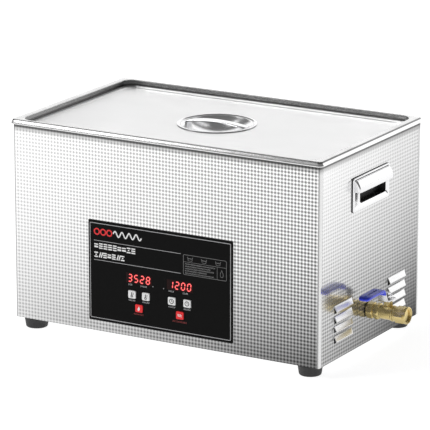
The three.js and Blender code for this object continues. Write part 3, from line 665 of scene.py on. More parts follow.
# %% Side sheets
side_low, side_high = cad("side_panel_right")
LOUVRE_LENGTH = 56.0
LOUVRE_HIGH = 9.0
LOUVRE_Y = (-86.0, 86.0)
LOUVRE_Z = tuple(CASE_Z + z for z in (29.0, 44.3, 59.6, 75.0))
handle_low, handle_high = cad("handle_right")
HANDLE_Z = (handle_low[2] + handle_high[2]) / 2
HANDLE_OPENING = (-40.5, 47.5, 219.5, 261.5)
PIPE_RADIUS = 9.0


def side_openings(with_pipe):
    """Slots under the louvres, the mouth for the pull handle, and the hole for the drain pipe."""
    found = [(y - 27.5, y + 24, z - CASE_Z - 3.4, z - CASE_Z + 6.2) for y in LOUVRE_Y for z in LOUVRE_Z]
    found.append(HANDLE_OPENING)
    if with_pipe:
        pipe_y = middle("valve_inlet_hex")[1]
        found.append((pipe_y - PIPE_RADIUS, pipe_y + PIPE_RADIUS, 42.5, 60.0))
    return found


def side_sheet(name, sign, node, with_pipe, finish):
    """One side of the case; sign is 1 on the right and -1 on the left."""
    holes = side_openings(with_pipe)
    edges_u = sorted({edge for hole in holes for edge in hole[:2]})
    edges_v = sorted({edge for hole in holes for edge in hole[2:]})
    lines_u = grid_lines(side_low[1], side_high[1], edges_u)
    lines_v = grid_lines(0.0, CASE_HEIGHT, edges_v)

    def surface(u, v, depth):
        return np.stack([sign * (HALF_X + depth), u, v + CASE_Z], -1)

    sheet = embossed(lines_u, lines_v, surface, holes, lambda u, v: fades(u, v, HALF_Y - 6.0))
    return piece(name, [sheet], finish, stands_for=[node], sharp=60)


side_sheet("right_sheet", 1, "side_panel_right", True, linen_side)
side_sheet("left_sheet", -1, "side_panel_left", False, linen_left)
print("side sheets from", side_low[1], "to", side_high[1])

# %% [markdown]
# ## Louvres
# Each louvre is cut along its lower edge and pressed outwards. Its bulge is a straight
# slope from the open lower edge up to the sheet. One end is sheared open and the other
# closes along a quarter of an ellipse. One function gives the bulge, and a Solidify
# modifier the thickness of the sheet.

# %% Louvres
LOUVRE_BULGE = 5.0
LOUVRE_SHEET = 0.8


def louvre(y, z, axes, face):
    """The bulge is highest at the open edge and falls nearly in a line to zero at the top."""
    u = np.concatenate([np.linspace(-1, -0.8, 9), np.linspace(-0.7, 0.7, 9), np.linspace(0.8, 1, 9)])
    v = np.linspace(0, 1, 9)
    uu, vv = np.meshgrid(u, v, indexing="ij")
    ends = np.sqrt(np.clip(1 - np.clip((uu - 0.8) / 0.2, 0, 1) ** 2, 0, 1))
    slope = (1 - vv) ** 0.85
    out = LOUVRE_BULGE * ends * slope
    points = np.stack([uu * LOUVRE_LENGTH / 2, vv * LOUVRE_HIGH, out], -1)
    return put(sheet_grid(points), axes, (face, 0, 0) + y * axes[0] + np.array([0, 0, z]))


louvre_steel = brushed("louvre_steel", (0.90, 0.90, 0.90), (0.86, 0.86, 0.86), (0.24, 0.34),
                       (60, 1, 60), metallic=0.95)
for side, axes, face in (("right", RIGHT, HALF_X), ("left", LEFT, -HALF_X)):
    hoods = [louvre(y, z, axes, face) for y in LOUVRE_Y for z in LOUVRE_Z]
    piece("louvres_" + side, hoods, louvre_steel, sharp=50, wall=LOUVRE_SHEET)
print("louvres:", 2 * len(LOUVRE_Y) * len(LOUVRE_Z))

# %% [markdown]
# ## Tank and rim
# The tank and its overhanging rim are one skin of rounded rectangles: up the inside, over
# the ledge where the lid rests, over the rim, down the flared lip, and back underneath.

# %% Tank
TANK_X, TANK_Y, TANK_CORNER, FILLET = 250.0, 150.0, 14.0, 12.0
LEDGE = 318.4
WALL = 1.5
RECESS = 4.5


def tank_rings():
    """Each ring is (offset, corner radius, height). The rim's offsets count from the case, the
    others from the tank wall."""
    bend = np.linspace(0, math.pi / 2, 9)
    floor = TANK_LOW[2] + WALL
    turn = FILLET * np.sin(bend)
    rows = [(t - FILLET, TANK_CORNER - FILLET + t, floor + FILLET - FILLET * math.cos(a))
            for a, t in zip(bend, turn)]
    rows += [(0, TANK_CORNER, LEDGE - 2.0), (0.35, TANK_CORNER, LEDGE - 0.8), (1.2, TANK_CORNER, LEDGE)]
    rows += [(RECESS - 1.4, 18, LEDGE), (RECESS - 0.4, 18, LEDGE + 0.4), (RECESS, 18, LEDGE + 1.4)]
    rows += [(RECESS, 18, RIM_TOP - 1.6), (RECESS + 0.45, 18.4, RIM_TOP - 0.45), (RECESS + 1.6, 19, RIM_TOP)]
    inner = [rounded_ring(TANK_X + o, TANK_Y + o, r, z, 8) for o, r, z in rows]
    rim = [(0.0, 5, RIM_TOP), (1.0, 5.4, RIM_TOP - 0.25), (1.7, 5.8, RIM_TOP - 0.9),
           (2.2, 6.2, RIM_TOP - 2.0), (4.1, 8, 324.4), (4.2, 8, 323.6), (3.9, 7.6, 323.0),
           (2.8, 6.5, 323.0), (2.5, 6.0, 323.6), (-0.3, 3.2, RIM_TOP - WALL)]
    outer = [rounded_ring(HALF_X + o, HALF_Y + o, r, z, 8) for o, r, z in rim]
    back = [(RECESS + WALL, 19, RIM_TOP - WALL), (RECESS + WALL, 19, LEDGE), (RECESS + 0.3, 19, LEDGE - WALL),
            (WALL + 0.5, TANK_CORNER + 1, LEDGE - WALL), (WALL, TANK_CORNER + WALL, LEDGE - WALL - 1)]
    outer_turn = (FILLET + WALL) * np.sin(bend)
    back += [(t - FILLET, TANK_CORNER - FILLET + t, floor + FILLET - (FILLET + WALL) * math.cos(a))
             for a, t in zip(bend[::-1], outer_turn[::-1])]
    under = [rounded_ring(TANK_X + o, TANK_Y + o, r, z, 8) for o, r, z in back]
    return inner + outer + under


tank_stack = tank_rings()
piece("tank_and_rim", [skin(tank_stack)], tank_steel, stands_for=["tank"], sharp=40)
print("rings in the tank's skin:", len(tank_stack))

# %% [markdown]
# ## Lid
# The lid lies in the recess. Its plate is a stack of rings from a round hole in the middle
# out to the rounded rectangle: the round ring's points lie in the directions of the
# rectangle's, so no face crosses another. The straight sides need points of their own, or
# the round hole would have straight sides too. A low pressed step runs round the border.

# %% Lid plate
lid_low, lid_high = cad("lid_plate")
LID_X, LID_Y = lid_high[0], lid_high[1]
DISH_HOLE = 55.0
SIDE_POINTS = 15


def with_sides(ring):
    """Adds evenly spaced points on the four straight sides of a rounded rectangle."""
    arcs = ring.reshape(4, -1, 3)
    ends = arcs[:, -1:]
    share = (np.arange(SIDE_POINTS) + 1)[None, :, None] / (SIDE_POINTS + 1)
    sides = ends + (np.roll(arcs[:, :1], -1, axis=0) - ends) * share
    return np.concatenate([arcs, sides], axis=1).reshape(-1, 3)


def lid_rings():
    """From the round hole outwards over the pressed step, round the edge, and back underneath."""
    top = lid_high[2]
    outline = with_sides(rounded_ring(LID_X, LID_Y, 17, 0, 10))
    direction = np.arctan2(outline[:, 1], outline[:, 0])

    def circle(radius, height):
        heights = np.full(len(direction), height)
        return np.column_stack([radius * np.cos(direction), radius * np.sin(direction), heights])

    step = [(-15, 10, top - 0.9), (-14, 10.5, top - 0.85), (-12.8, 11, top - 0.45), (-11.6, 12, top - 0.1),
            (-10.6, 12.5, top), (-2.6, 15, top), (-1.5, 16, top - 0.25), (-0.5, 16.6, top - 0.9),
            (0, 17, top - 1.9), (0, 17, lid_low[2] + 0.2), (-0.9, 16.2, lid_low[2] + 0.2),
            (-0.9, 16.2, top - 1.9), (-2.2, 15.2, top - 1.0), (-14, 10, top - 1.9)]
    rings = [circle(DISH_HOLE, top - 1.9), circle(DISH_HOLE, top - 0.9)]
    rings += [with_sides(rounded_ring(LID_X + o, LID_Y + o, r, z, 10)) for o, r, z in step]
    return rings


piece("lid_sheet", [skin(lid_rings(), closed=True)], lid_steel, body="lid",
      stands_for=["lid_plate"], sharp=40)
print("lid", round(LID_X * 2), "by", round(LID_Y * 2))

# %% [markdown]
# The grip is a round polished dish with a strap across it. The dish is a turned profile: a
# bowl whose height grows with the square of the radius, a narrow step, and a flat flange
# that lies on the lid. The strap is a flat section carried along a shallow arch.

# %% Lid dish and strap
dish_low, dish_high = cad("lid_dish")
top = lid_high[2]
DISH_RING = (dish_high[0] - dish_low[0]) / 2
ledge = DISH_RING - 7.5
bowl = np.linspace(0, 1, 24)
bowl_in = np.stack([ledge * bowl, dish_low[2] + 1.2 + (top - 2.6 - dish_low[2]) * bowl ** 2], -1)
step_up = [[ledge + 0.8, top - 1.1], [ledge + 3.0, top - 1.0], [ledge + 3.6, top - 0.8],
           [ledge + 4.3, top + 0.1], [ledge + 4.7, top + 0.25]]
bowl_in = np.concatenate([bowl_in, step_up])
under_bowl = bowl_in[::-1] + (0.2, -1.0)
under_bowl[-1, 0] = 0.0
flange = [[DISH_RING - 0.3, top + 0.25], [DISH_RING, top + 0.15],
          [DISH_RING - 0.2, top + 0.02], [ledge + 4.8, top + 0.02]]
dish_profile = np.concatenate([bowl_in, flange, under_bowl])
dish_steel = brushed("dish_steel", (0.90, 0.90, 0.905), (0.80, 0.80, 0.81), (0.16, 0.24), (1, 1, 1), 30.0)
piece("lid_grip_dish", [turned(dish_profile, TOP, (0, 0, 0), 96)], dish_steel, body="lid",
      stands_for=["lid_dish"], sharp=50)

strap_low, strap_high = cad("lid_bridge")
strap_x = np.linspace(strap_low[0], strap_high[0], 41)
strap_rise = np.cos(strap_x / strap_high[0] * math.pi / 2)
STRAP_ARCH = 5.0
strap_path = np.stack([strap_x, np.zeros(41), strap_low[2] - 1.0 + STRAP_ARCH * strap_rise ** 0.7], -1)
strap_section = rounded_ring(7.5, 1.3, 1.2, 0, 4)[:, :2]
piece("lid_grip_strap", [carried(strap_section, strap_path, (0, 1, 0))], polished, body="lid",
      stands_for=["lid_bridge"], sharp=50)
print("grip ring radius", DISH_RING)

# %% [markdown]
# ## Pull handles
# A pressed frame on a thin gasket, a pocket coloured near-black as painted shade, and a hood
# that bulges over the pocket for the fingers. The pocket sits nearer to one end of the frame.
# The hood's bulge is level along its length and falls steeply at both ends, as one high power
# of the distance from its middle.

# %% Pull handles
HOOD_LOW = 260.0 - HANDLE_Z
HOOD_RISE = 18.0
HOOD_BULGE = 9.3
HOOD_SHEET = 1.5
FRAME_SHIFT = -4.0
MOUTH_SHIFT = 8.0
# The pocket's near-black lining is painted shade for the unlit space under the hood; the gasket and the strip
# along the hood's top share this near-black.
pocket_shade_and_gasket = Finish("pocket_back", (0.02, 0.02, 0.02), roughness=0.6, metallic=0.3)
pocket_shade_and_gasket.set("Base Color", pocket_shade_and_gasket.blend(
    pocket_shade_and_gasket.noise(30.0), (0.012, 0.012, 0.012), (0.03, 0.03, 0.03)))


def pull_handle(name, axes, sign, node):
    """The frame is a skin of rounded rectangles; the hood is a quarter ellipse drawn along the frame."""
    half_u = (handle_high[1] - handle_low[1]) / 2 - 7.0
    half_v = (handle_high[2] - handle_low[2]) / 2 - 1.2
    place = (sign * HALF_X, FRAME_SHIFT, HANDLE_Z + 1.2)
    mid = sign * MOUTH_SHIFT
    rows = [(42.0, 18.8, 4, 0.1, mid, 1), (43.0, 19.2, 4, 0.3, mid, 1), (half_u, half_v, 2.5, 0.3, 0, 0),
            (half_u, half_v, 2.5, 2.2, 0, 0), (half_u - 0.3, half_v - 0.3, 2.3, 2.8, 0, 0),
            (half_u - 1.1, half_v - 1.1, 2.0, 3.1, 0, 0), (half_u - 3.5, half_v - 4.2, 3.0, 3.1, 0, 0.4),
            (half_u - 4.3, half_v - 5.0, 3.0, 2.6, 0, 0.4), (43.0, 18.6, 5.0, 1.4, mid, 1),
            (41.4, 18.0, 5.0, 0.8, mid, 1)]
    rings = [rounded_ring(u, v, r, w, 6, (middle_u, shift)) for u, v, r, w, middle_u, shift in rows]
    frame_part = put(skin(rings, closed=True), axes, place)
    end = np.array([0.0, 0.001, 0.004, 0.009, 0.016, 0.026, 0.04, 0.06])
    across = np.concatenate([end - 1, np.linspace(-0.9, 0.9, 19), 1 - end[::-1]])
    angle = np.linspace(0, math.pi / 2, 17)
    uu, aa = np.meshgrid(across, angle, indexing="ij")
    swell = (1 - np.abs(uu) ** 70) ** 0.5
    out = 2.9 + HOOD_BULGE * np.cos(aa) * swell
    up = HOOD_LOW + 0.3 + HOOD_RISE * np.sin(aa)
    hood = put(sheet_grid(np.stack([uu * (half_u - 2.5), up, out], -1)), axes, place)
    piece(name + "_frame", [frame_part], polished, stands_for=[node], sharp=40)
    lining = [(41.1, 17.7, 4.8, 0.7), (39.5, 17.1, 4.5, -10.3), (0.5, 0.5, 0.4, -10.3),
              (0.5, 0.5, 0.4, -11.0), (40.5, 17.9, 4.5, -11.0), (41.7, 18.3, 4.8, 0.0)]
    rings = [rounded_ring(u, v, r, w, 6, (mid, 1)) for u, v, r, w in lining]
    back_plate = put(skin(rings, closed=True), axes, place)
    seam_place = (sign * HALF_X, FRAME_SHIFT, HANDLE_Z + HOOD_LOW + HOOD_RISE + 1.9)
    seam = pad(half_u - 3.0, 0.45, 0.4, 3.0, 3.25, 0.1, axes, seam_place, 3)
    gasket = [(half_u + 0.5, half_v + 0.5, 2.9, 0.2), (half_u + 0.5, half_v + 0.5, 2.9, 1.3),
              (half_u - 1.5, half_v - 1.5, 2.0, 1.3), (half_u - 1.5, half_v - 1.5, 2.0, 0.2)]
    ring = put(skin([rounded_ring(u, v, r, w, 6) for u, v, r, w in gasket], closed=True), axes, place)
    # The pocket lining here is painted shade; the seam strip and the gasket share its near-black.
    piece(name + "_back", [back_plate, seam, ring], pocket_shade_and_gasket)
    piece(name + "_hood", [hood], polished, sharp=50, wall=HOOD_SHEET)


pull_handle("pull_handle_right", RIGHT, 1, "handle_right")
pull_handle("pull_handle_left", LEFT, -1, "handle_left")
print("handle centre height", HANDLE_Z)

# %% [markdown]
# ## Rubber feet
# Moulded cups with a rounded heel, tapering sides and a hole deep in the bottom for the
# screw. Each is one turned profile.

# %% Feet
rubber = Finish("black_rubber", (0.02, 0.02, 0.02), roughness=0.62)
rubber_grain = rubber.noise(700.0, 3.0)
rubber.set("Base Color", rubber.blend(rubber.noise(60.0, 2.0), (0.014, 0.014, 0.014), (0.035, 0.035, 0.036)))
rubber.set("Roughness", rubber.spread(rubber_grain, 0.5, 0.72, 0.3, 0.7))
rubber.bump(rubber_grain, 0.15, 0.0003)
FOOT_NAMES = ("front_left", "front_right", "rear_left", "rear_right")
for place in FOOT_NAMES:
    low, high = cad("foot_" + place)
    x, y, _ = (low + high) / 2
    top_radius = (high[0] - low[0]) / 2
    curve = np.linspace(0, math.pi / 2, 6)
    heel = np.stack([14.5 + 2.5 * np.sin(curve), 2.5 - 2.5 * np.cos(curve)], -1)
    profile = np.concatenate([
        [[0, 8], [5.5, 8], [5.5, 0.6], [6.1, 0]], heel,
        [[17.6, 6], [top_radius - 0.8, 13.0], [top_radius, 15.0], [top_radius, 16.2],
         [top_radius - 0.5, high[2]], [0, high[2]]]])
    piece("rubber_foot_" + place, [turned(profile, TOP, (x, y, 0), 64)], rubber,
          stands_for=["foot_" + place], sharp=35)
print("feet:", len(FOOT_NAMES))

# %% [markdown]
# ## Drain valve
# A forged brass ball valve. Its hexagons are turned at both ends, so the chamfer is where
# a cone meets the six flats: at each angle the radius is the smaller of the two.

# %% Brass and valve shapes
HEX = 22.5
HEX_POINTS = 96
AXIS_Y, AXIS_Z = middle("valve_body")[1], middle("valve_inlet_hex")[2]


def forged_brass(name):
    """Brass that is bright on top, with painted shade making it darker underneath."""
    finish = Finish(name, (0.86, 0.66, 0.27), metallic=0.76)
    height = finish.axes()[2]
    # under is painted shade: below the valve's axis the brass is blended towards a dark olive.
    under = height.below(AXIS_Z * MM - 0.002, 0.009)
    bright = finish.blend(finish.noise(12.0, 2.0), (0.92, 0.74, 0.34), (0.84, 0.66, 0.28))
    finish.set("Base Color", finish.blend(under * 0.6, bright, (0.30, 0.24, 0.09)))
    finish.set("Roughness", finish.spread(finish.noise(40.0, 2.0), 0.22, 0.26, 0.3, 0.7))
    return finish


# A near-black finish for the ring at the wall: painted shade standing for the gap where the valve meets it.
gap_shade_finish = Finish("dark_gap", (0.02, 0.02, 0.02), roughness=0.7)
gap_shade_finish.set("Roughness", gap_shade_finish.spread(gap_shade_finish.noise(400.0), 0.6, 0.8))
brass = forged_brass("brass")


def hexed(flats, profile):
    """A hexagonal bar cut by a turned profile of (limit radius, height): radius = min(flat, limit)."""
    angle = np.arange(HEX_POINTS) * 2 * math.pi / HEX_POINTS
    folded = np.mod(angle, math.pi / 3) - math.pi / 6
    flat = flats / 2 / np.cos(folded)
    rings = []
    for limit, height in profile:
        radius = np.minimum(flat, limit)
        around = [radius * np.cos(angle), radius * np.sin(angle), np.full(HEX_POINTS, height)]
        rings.append(np.stack(around, -1))
    return skin(rings)


def chamfered(flats, low, high, cut=1.3, foot=0.4):
    """The profile of a hexagon between two heights, with both ends turned down to a circle."""
    corner = flats / 2 / math.cos(math.pi / 6)
    inner = flats / 2 - foot
    return [(inner, low), (inner + foot, low + 0.25), (corner, low + cut), (corner, high - cut),
            (inner + foot, high - 0.25), (inner, high)]


def axis_part(part):
    """Lays a part along the valve's axis, which points out of the right side."""
    return put(part, RIGHT, (0, AXIS_Y, AXIS_Z))


print("valve axis at", round(AXIS_Y, 1), round(AXIS_Z, 1))

# %% [markdown]
# From the wall outwards: a dark ring of painted shade where the valve meets the wall, the
# hexagon of the inlet, then the body with its own hexagon, a finely ribbed barrel and a
# shoulder, and the upright boss for the stem.

# %% Valve body
inlet_high = cad("valve_inlet_hex")[1]
body_low, body_high = cad("valve_body")
end_low, end_high = cad("valve_outlet_end")
stem_x = middle("valve_stem")[0]
neck = [(0, HALF_X + 0.1), (9.6, HALF_X + 0.1), (9.6, HALF_X + 1.2), (0, HALF_X + 1.2)]
wall_hex = hexed(HEX, chamfered(HEX, HALF_X + 1.0, inlet_high[0] - 1.2))
wall_collar = turned([(10.2, inlet_high[0] - 1.4), (10.2, inlet_high[0])], TOP, (0, 0, 0), 64)
piece("valve_wall_hex", [axis_part(wall_hex), axis_part(wall_collar)], brass,
      stands_for=["valve_inlet_hex"], sharp=30)
# The thin ring at the wall is painted shade for the gap there.
piece("valve_wall_gap_shade", [axis_part(turned(neck, TOP, (0, 0, 0), 64))], gap_shade_finish)

x = np.linspace(body_low[0] + 9.0, body_high[0] - 3.5, 41)
lines = 10.75 - 0.09 * (0.5 + 0.5 * np.cos((x - x[0]) * 2 * math.pi / 1.6))
start = body_low[0]
first_hex = hexed(HEX, chamfered(HEX, start, start + 8.6))
barrel = np.concatenate([[[10.2, start + 8.2], [10.75, start + 8.6]], np.stack([lines, x], -1),
                         [[11.9, body_high[0] - 3.0], [12.1, body_high[0] - 2.4],
                          [12.1, body_high[0] - 0.6], [11.6, body_high[0]]]])
boss = [(8.0, 72.0), (8.0, 79.0), (7.7, 79.7), (7.0, 80.0)]
piece("valve_barrel", [axis_part(first_hex), axis_part(turned(barrel, TOP, (0, 0, 0), 96)),
                       turned(boss, TOP, (stem_x, AXIS_Y, 0), 64)], brass,
      stands_for=["valve_body"], sharp=30)
print("barrel from", round(start, 1), "to", round(body_high[0], 1))

# %% [markdown]
# The outlet end is a collar, a hexagon and a round mouth. Inside the mouth there is a pipe
# thread: the bore's radius rises and falls along its length.

# %% Valve outlet
collar = [(10.6, end_low[0]), (11.4, end_low[0] + 0.3), (11.4, end_low[0] + 3.2), (10.6, end_low[0] + 3.6)]
mouth_x = end_high[0]
out_hex = chamfered(HEX + 0.6, end_low[0] + 3.0, mouth_x - 3.6)
thread_x = np.arange(mouth_x - 1.6, mouth_x - 13.0, -0.65)
thread_r = np.where(np.arange(len(thread_x)) % 2 == 0, 10.9, 10.1)
lip = [[11.5, mouth_x - 4.4], [13.1, mouth_x - 3.4], [13.1, mouth_x - 0.7], [12.7, mouth_x - 0.15],
       [12.2, mouth_x], [11.7, mouth_x], [11.2, mouth_x - 0.4]]
bore = [[7.5, mouth_x - 14.0], [7.5, end_low[0] + 1.0], [9.0, end_low[0] + 1.0], [9.0, mouth_x - 4.4]]
mouth = np.concatenate([lip, np.stack([thread_r, thread_x], -1), bore])
end_hex = hexed(HEX + 0.6, [(9.0, out_hex[0][1])] + out_hex + [(9.0, out_hex[-1][1])])
piece("valve_outlet", [axis_part(turned(collar, TOP, (0, 0, 0), 96)), axis_part(end_hex)], brass,
      stands_for=["valve_outlet_end"], sharp=30)
piece("valve_mouth", [axis_part(turned(mouth, TOP, (0, 0, 0), 96, closed=True))], brass,
      sharp=30)
print("valve from the wall to", round(mouth_x, 1))

# %% [markdown]
# Above the body come the packing nut, the flat steel lever, and the nut that holds it. The
# lever is a strip bent up and along: its rise follows the smooth step 3t squared - 2t cubed.

# %% Packing nut and lever
pack_low, pack_high = cad("valve_packing_nut")
lever_low, lever_high = cad("valve_lever")
nut_low, nut_high = cad("lever_nut")
sleeve_low, sleeve_high = cad("lever_sleeve")
on_stem = (stem_x, AXIS_Y, 0)
pack_nut = hexed(13.0, chamfered(13.0, pack_low[2], pack_high[2], 0.9, 0.3))
piece("packing_nut", [put(pack_nut, TOP, on_stem)], brass,
      stands_for=["valve_packing_nut"], sharp=30)
nut_steel = brushed("nut_steel", (0.86, 0.86, 0.87), (0.72, 0.72, 0.74), (0.10, 0.2), (30, 30, 1), 30.0)
dome = np.linspace(0, math.pi / 2, 6)
nut_profile = chamfered(12.0, nut_low[2] + 1.0, nut_high[2] - 1.4, 0.9, 0.3)
stud = [(3.6, nut_high[2] - 3.0)]
stud += [(3.6 * math.cos(a), nut_high[2] - 1.5 + 1.5 * math.sin(a)) for a in dome[:-1]]
piece("lever_lock_nut", [put(hexed(12.0, nut_profile), TOP, on_stem),
                         turned([(7.6, nut_low[2]), (7.6, nut_low[2] + 0.9)], TOP, on_stem, 48),
                         turned(stud, TOP, on_stem, 48)], nut_steel, body="valve_handle",
      stands_for=["lever_nut"], sharp=30)
lever_steel = brushed("lever_steel", (0.78, 0.78, 0.79), (0.66, 0.66, 0.67), (0.18, 0.3), (40, 1, 40))
t = np.linspace(0, 1, 25)
ease = t * t * (3 - 2 * t)
mid = lever_low[2] + 1.25
reach = np.concatenate([
    np.linspace(lever_high[1], -19.0, 12), -19.0 - 15.0 * t[1:], [-60.0, sleeve_low[1] + 4]])
rise = np.concatenate([np.full(12, mid), mid + (108.6 - mid) * ease[1:], [109.8, 109.4]])
lever_path = np.stack([np.full(len(reach), stem_x), reach, rise], -1)
lever_section = rounded_ring(8.0, 1.2, 0.5, 0, 3)[:, :2]
piece("lever_strip", [carried(lever_section, lever_path, (1, 0, 0))], lever_steel,
      body="valve_handle", stands_for=["valve_lever"], sharp=40)
print("lever strip from", round(reach[-1], 1), "to", round(reach[0], 1))

# %% [markdown]
# The sleeve is a soft blue dip: its width and height are given at each step of its path, so
# the tip is rounded, the middle is even, and the near end turns down over the strip.

# %% Vinyl sleeve
vinyl = Finish("blue_vinyl", (0.03, 0.06, 0.72), roughness=0.3, coat_weight=0.4, coat_roughness=0.2)
vinyl.set("Base Color", vinyl.blend(vinyl.noise(120.0, 2.0), (0.014, 0.035, 0.78), (0.022, 0.055, 0.90)))
vinyl.set("Roughness", vinyl.spread(vinyl.noise(500.0), 0.25, 0.4, 0.3, 0.7))
vinyl_rib = Finish("blue_vinyl_rib", (0.12, 0.20, 0.85), roughness=0.35)
vinyl_rib.set("Base Color", vinyl_rib.blend(vinyl_rib.noise(200.0), (0.10, 0.20, 0.95), (0.16, 0.28, 1.0)))
tip, near = sleeve_low[1], sleeve_high[1]
run_y = np.concatenate([
    [tip, tip + 0.25, tip + 0.9, tip + 2.2, tip + 5, tip + 9], np.linspace(tip + 14, near - 1, 10),
    near + np.array([1.0, 2.8, 4.3, 5.4, 6.1, 6.6])])
drop = np.concatenate([[2.1, 2.05, 1.85, 1.45, 0.8, 0.35], np.zeros(10), [0.15, 0.8, 2.0, 3.7, 5.6, 7.6]])
flat_z = sleeve_high[2] - 2.3
sleeve_path = np.stack([np.full(len(run_y), stem_x), run_y, flat_z - drop], -1)
wide = np.concatenate([[3.2, 5.2, 6.7, 7.9, 8.9, 9.3], np.full(16, 9.4)])
tall = np.concatenate([[0.9, 1.5, 1.9, 2.1, 2.2, 2.2], np.full(10, 2.2), np.linspace(2.2, 1.7, 6)])
sleeve_sections = np.stack([
    rounded_ring(w, h, min(1.6, h * 0.8), 0, 6)[:, :2] for w, h in zip(wide, tall)])
piece("lever_sleeve_vinyl", [carried(sleeve_sections, sleeve_path, (1, 0, 0))], vinyl, body="valve_handle",
      stands_for=["lever_sleeve"], sharp=50)
ribs = [pad(0.8, 5.2, 0.7, flat_z + 2.0, flat_z + 2.55, 0.25, TOP, (stem_x, y, 0), 4)
        for y in np.linspace(tip + 15, near - 7, 8)]
ribs.append(put(skin([rounded_ring(2.2 + e, 2.2 + e, 2.1, z, 6) for e, z in (
    (0, flat_z + 1.9), (0, flat_z + 2.4), (-0.3, flat_z + 2.5))]), TOP, (stem_x, tip + 9.0, 0)))
piece("lever_sleeve_ribs", ribs, vinyl_rib, body="valve_handle")
print("sleeve from", round(tip, 1), "to", round(near, 1))

# %% [markdown]
# ## Control panel
# A dark film, printed with a silver frame line, rules and small signs. Prints are raised
# strokes a tenth of a millimetre thick, so they have real edges. Every ink is a plain
# paint with a little unevenness in its colour.

# %% Panel film and inks
PRINT_LOW, PRINT_HIGH = -0.05, 0.1
PANEL_Y = cad("panel_overlay")[0][1]


def printed(name, parts, finish, body="housing", at=PANEL_Y):
    """Lays flat printed parts on the panel's face, or on another face at a given Y."""
    faced = [put(part, FRONT, (0, at, 0)) for part in parts]
    return piece(name, faced, finish, body=body, sharp=50)


def inked(path, width, closed=False):
    """A printed line of one width along a path."""
    return ribbon(path, width, PRINT_LOW, PRINT_HIGH, closed)


def ink(name, color, second, rough=0.45):
    """Paint or plastic of nearly one colour: soft noise blends it with a second one."""
    finish = Finish(name, color, roughness=rough)
    finish.set("Base Color", finish.blend(finish.noise(180.0, 2.0), color, second))
    return finish


film = ink("panel_film", (0.006, 0.006, 0.006), (0.008, 0.008, 0.008), 0.5)
film.set("Specular IOR Level", 0.04)
film.bump(film.noise(1500.0, 2.0), 0.05, 0.00005)
dress(film, "panel_overlay")
silver_ink = ink("silver_ink", (0.40, 0.40, 0.41), (0.47, 0.47, 0.48))
white_ink = ink("white_ink", (0.85, 0.85, 0.85), (0.9, 0.9, 0.9))
grey_ink = ink("grey_ink", (0.20, 0.20, 0.20), (0.25, 0.25, 0.25))
red_ink = ink("red_ink", (0.80, 0.015, 0.02), (0.86, 0.02, 0.025))
dim_red_ink = ink("dim_red_ink", (0.24, 0.02, 0.02), (0.30, 0.03, 0.03))
print("panel face at", round(PANEL_Y, 2))

# %% [markdown]
# Words are left out. A row of short level and slanted strokes stands for each line of
# them, and the seed picks the order of the strokes.

# %% Rows of strokes
TITLE_LEFT = -121.4


def stroke_row(u0, u1, v, high, seed, pen, gap=0.35):
    """A row of level and slanted strokes that stands for a line of print."""
    rng = np.random.default_rng(seed)
    parts = []
    step = high * 0.78
    for n in range(int((u1 - u0) / (step * (1 + gap)))):
        u = u0 + (n + 0.5) * step * (1 + gap)
        kind = rng.integers(0, 4)
        half = (step - pen) / 2
        if kind == 0:
            for level in (-1, 0, 1):
                z = v + level * (high - pen) / 2
                parts.append(inked([(u - step / 2, z), (u + step / 2, z)], pen))
        elif kind == 1:
            rise = high / 2
            parts.append(inked([(u - half, v - rise), (u + half * 0.2, v + rise)], pen))
            parts.append(inked([(u + half * 0.5, v - rise), (u + half * 1.7, v + rise)], pen))
        elif kind == 2:
            for level in (-1, 1):
                z = v + level * (high - pen) / 2
                parts.append(inked([(u - step / 2, z), (u + step / 2, z)], pen))
            parts.append(inked([(u - half / 2, v), (u + half / 2, v)], pen))
        else:
            low, up = v - high * 0.2, v + high * 0.25
            parts.append(inked([(u - step / 2, low), (u + step / 2, low)], pen * 1.4))
            parts.append(inked([(u - step / 2, up), (u + step / 2, up)], pen))
    return parts


titles = stroke_row(TITLE_LEFT, -44.5, 151.6, 8.6, 3, 1.9, 0.22)
titles += stroke_row(TITLE_LEFT, -66.0, 137.6, 8.2, 8, 1.9, 0.22)
print("title strokes:", len(titles))

# %% [markdown]
# Silver rules frame the panel. Above the titles there are three red rings and a white sine
# wave, a plain sign for sound in water. A small box holds a few lines of strokes and a
# drop, and three little tanks stand above it.

# %% Rules, rings and the small box
MARK_V = 173.8
MARK_PEN = 2.1
frame_outline = rounded_ring(122.2, 74.4, 1.2, 0, 6, (-5.8, 112.2))[:, :2]
rules = [inked(frame_outline, 1.0, closed=True)]
rules += [inked([(TITLE_LEFT, v), (31.0, v)], 0.75) for v in (159.7, 129.3)]
printed("print_silver_rules", rules, silver_ink)

wave_u = np.linspace(-87.0, -37.5, 80)
wave = np.stack([wave_u, MARK_V + 4.2 * np.sin((wave_u + 87.0) * 2 * math.pi / 12.4)], -1)
printed("print_white_titles", titles + [inked(wave, MARK_PEN)], white_ink)
rings = [inked(arc((u, MARK_V), 4.4, 0, 345, 24), MARK_PEN, closed=True) for u in (-116.0, -105.0, -94.0)]
printed("print_red_rings", rings, red_ink)

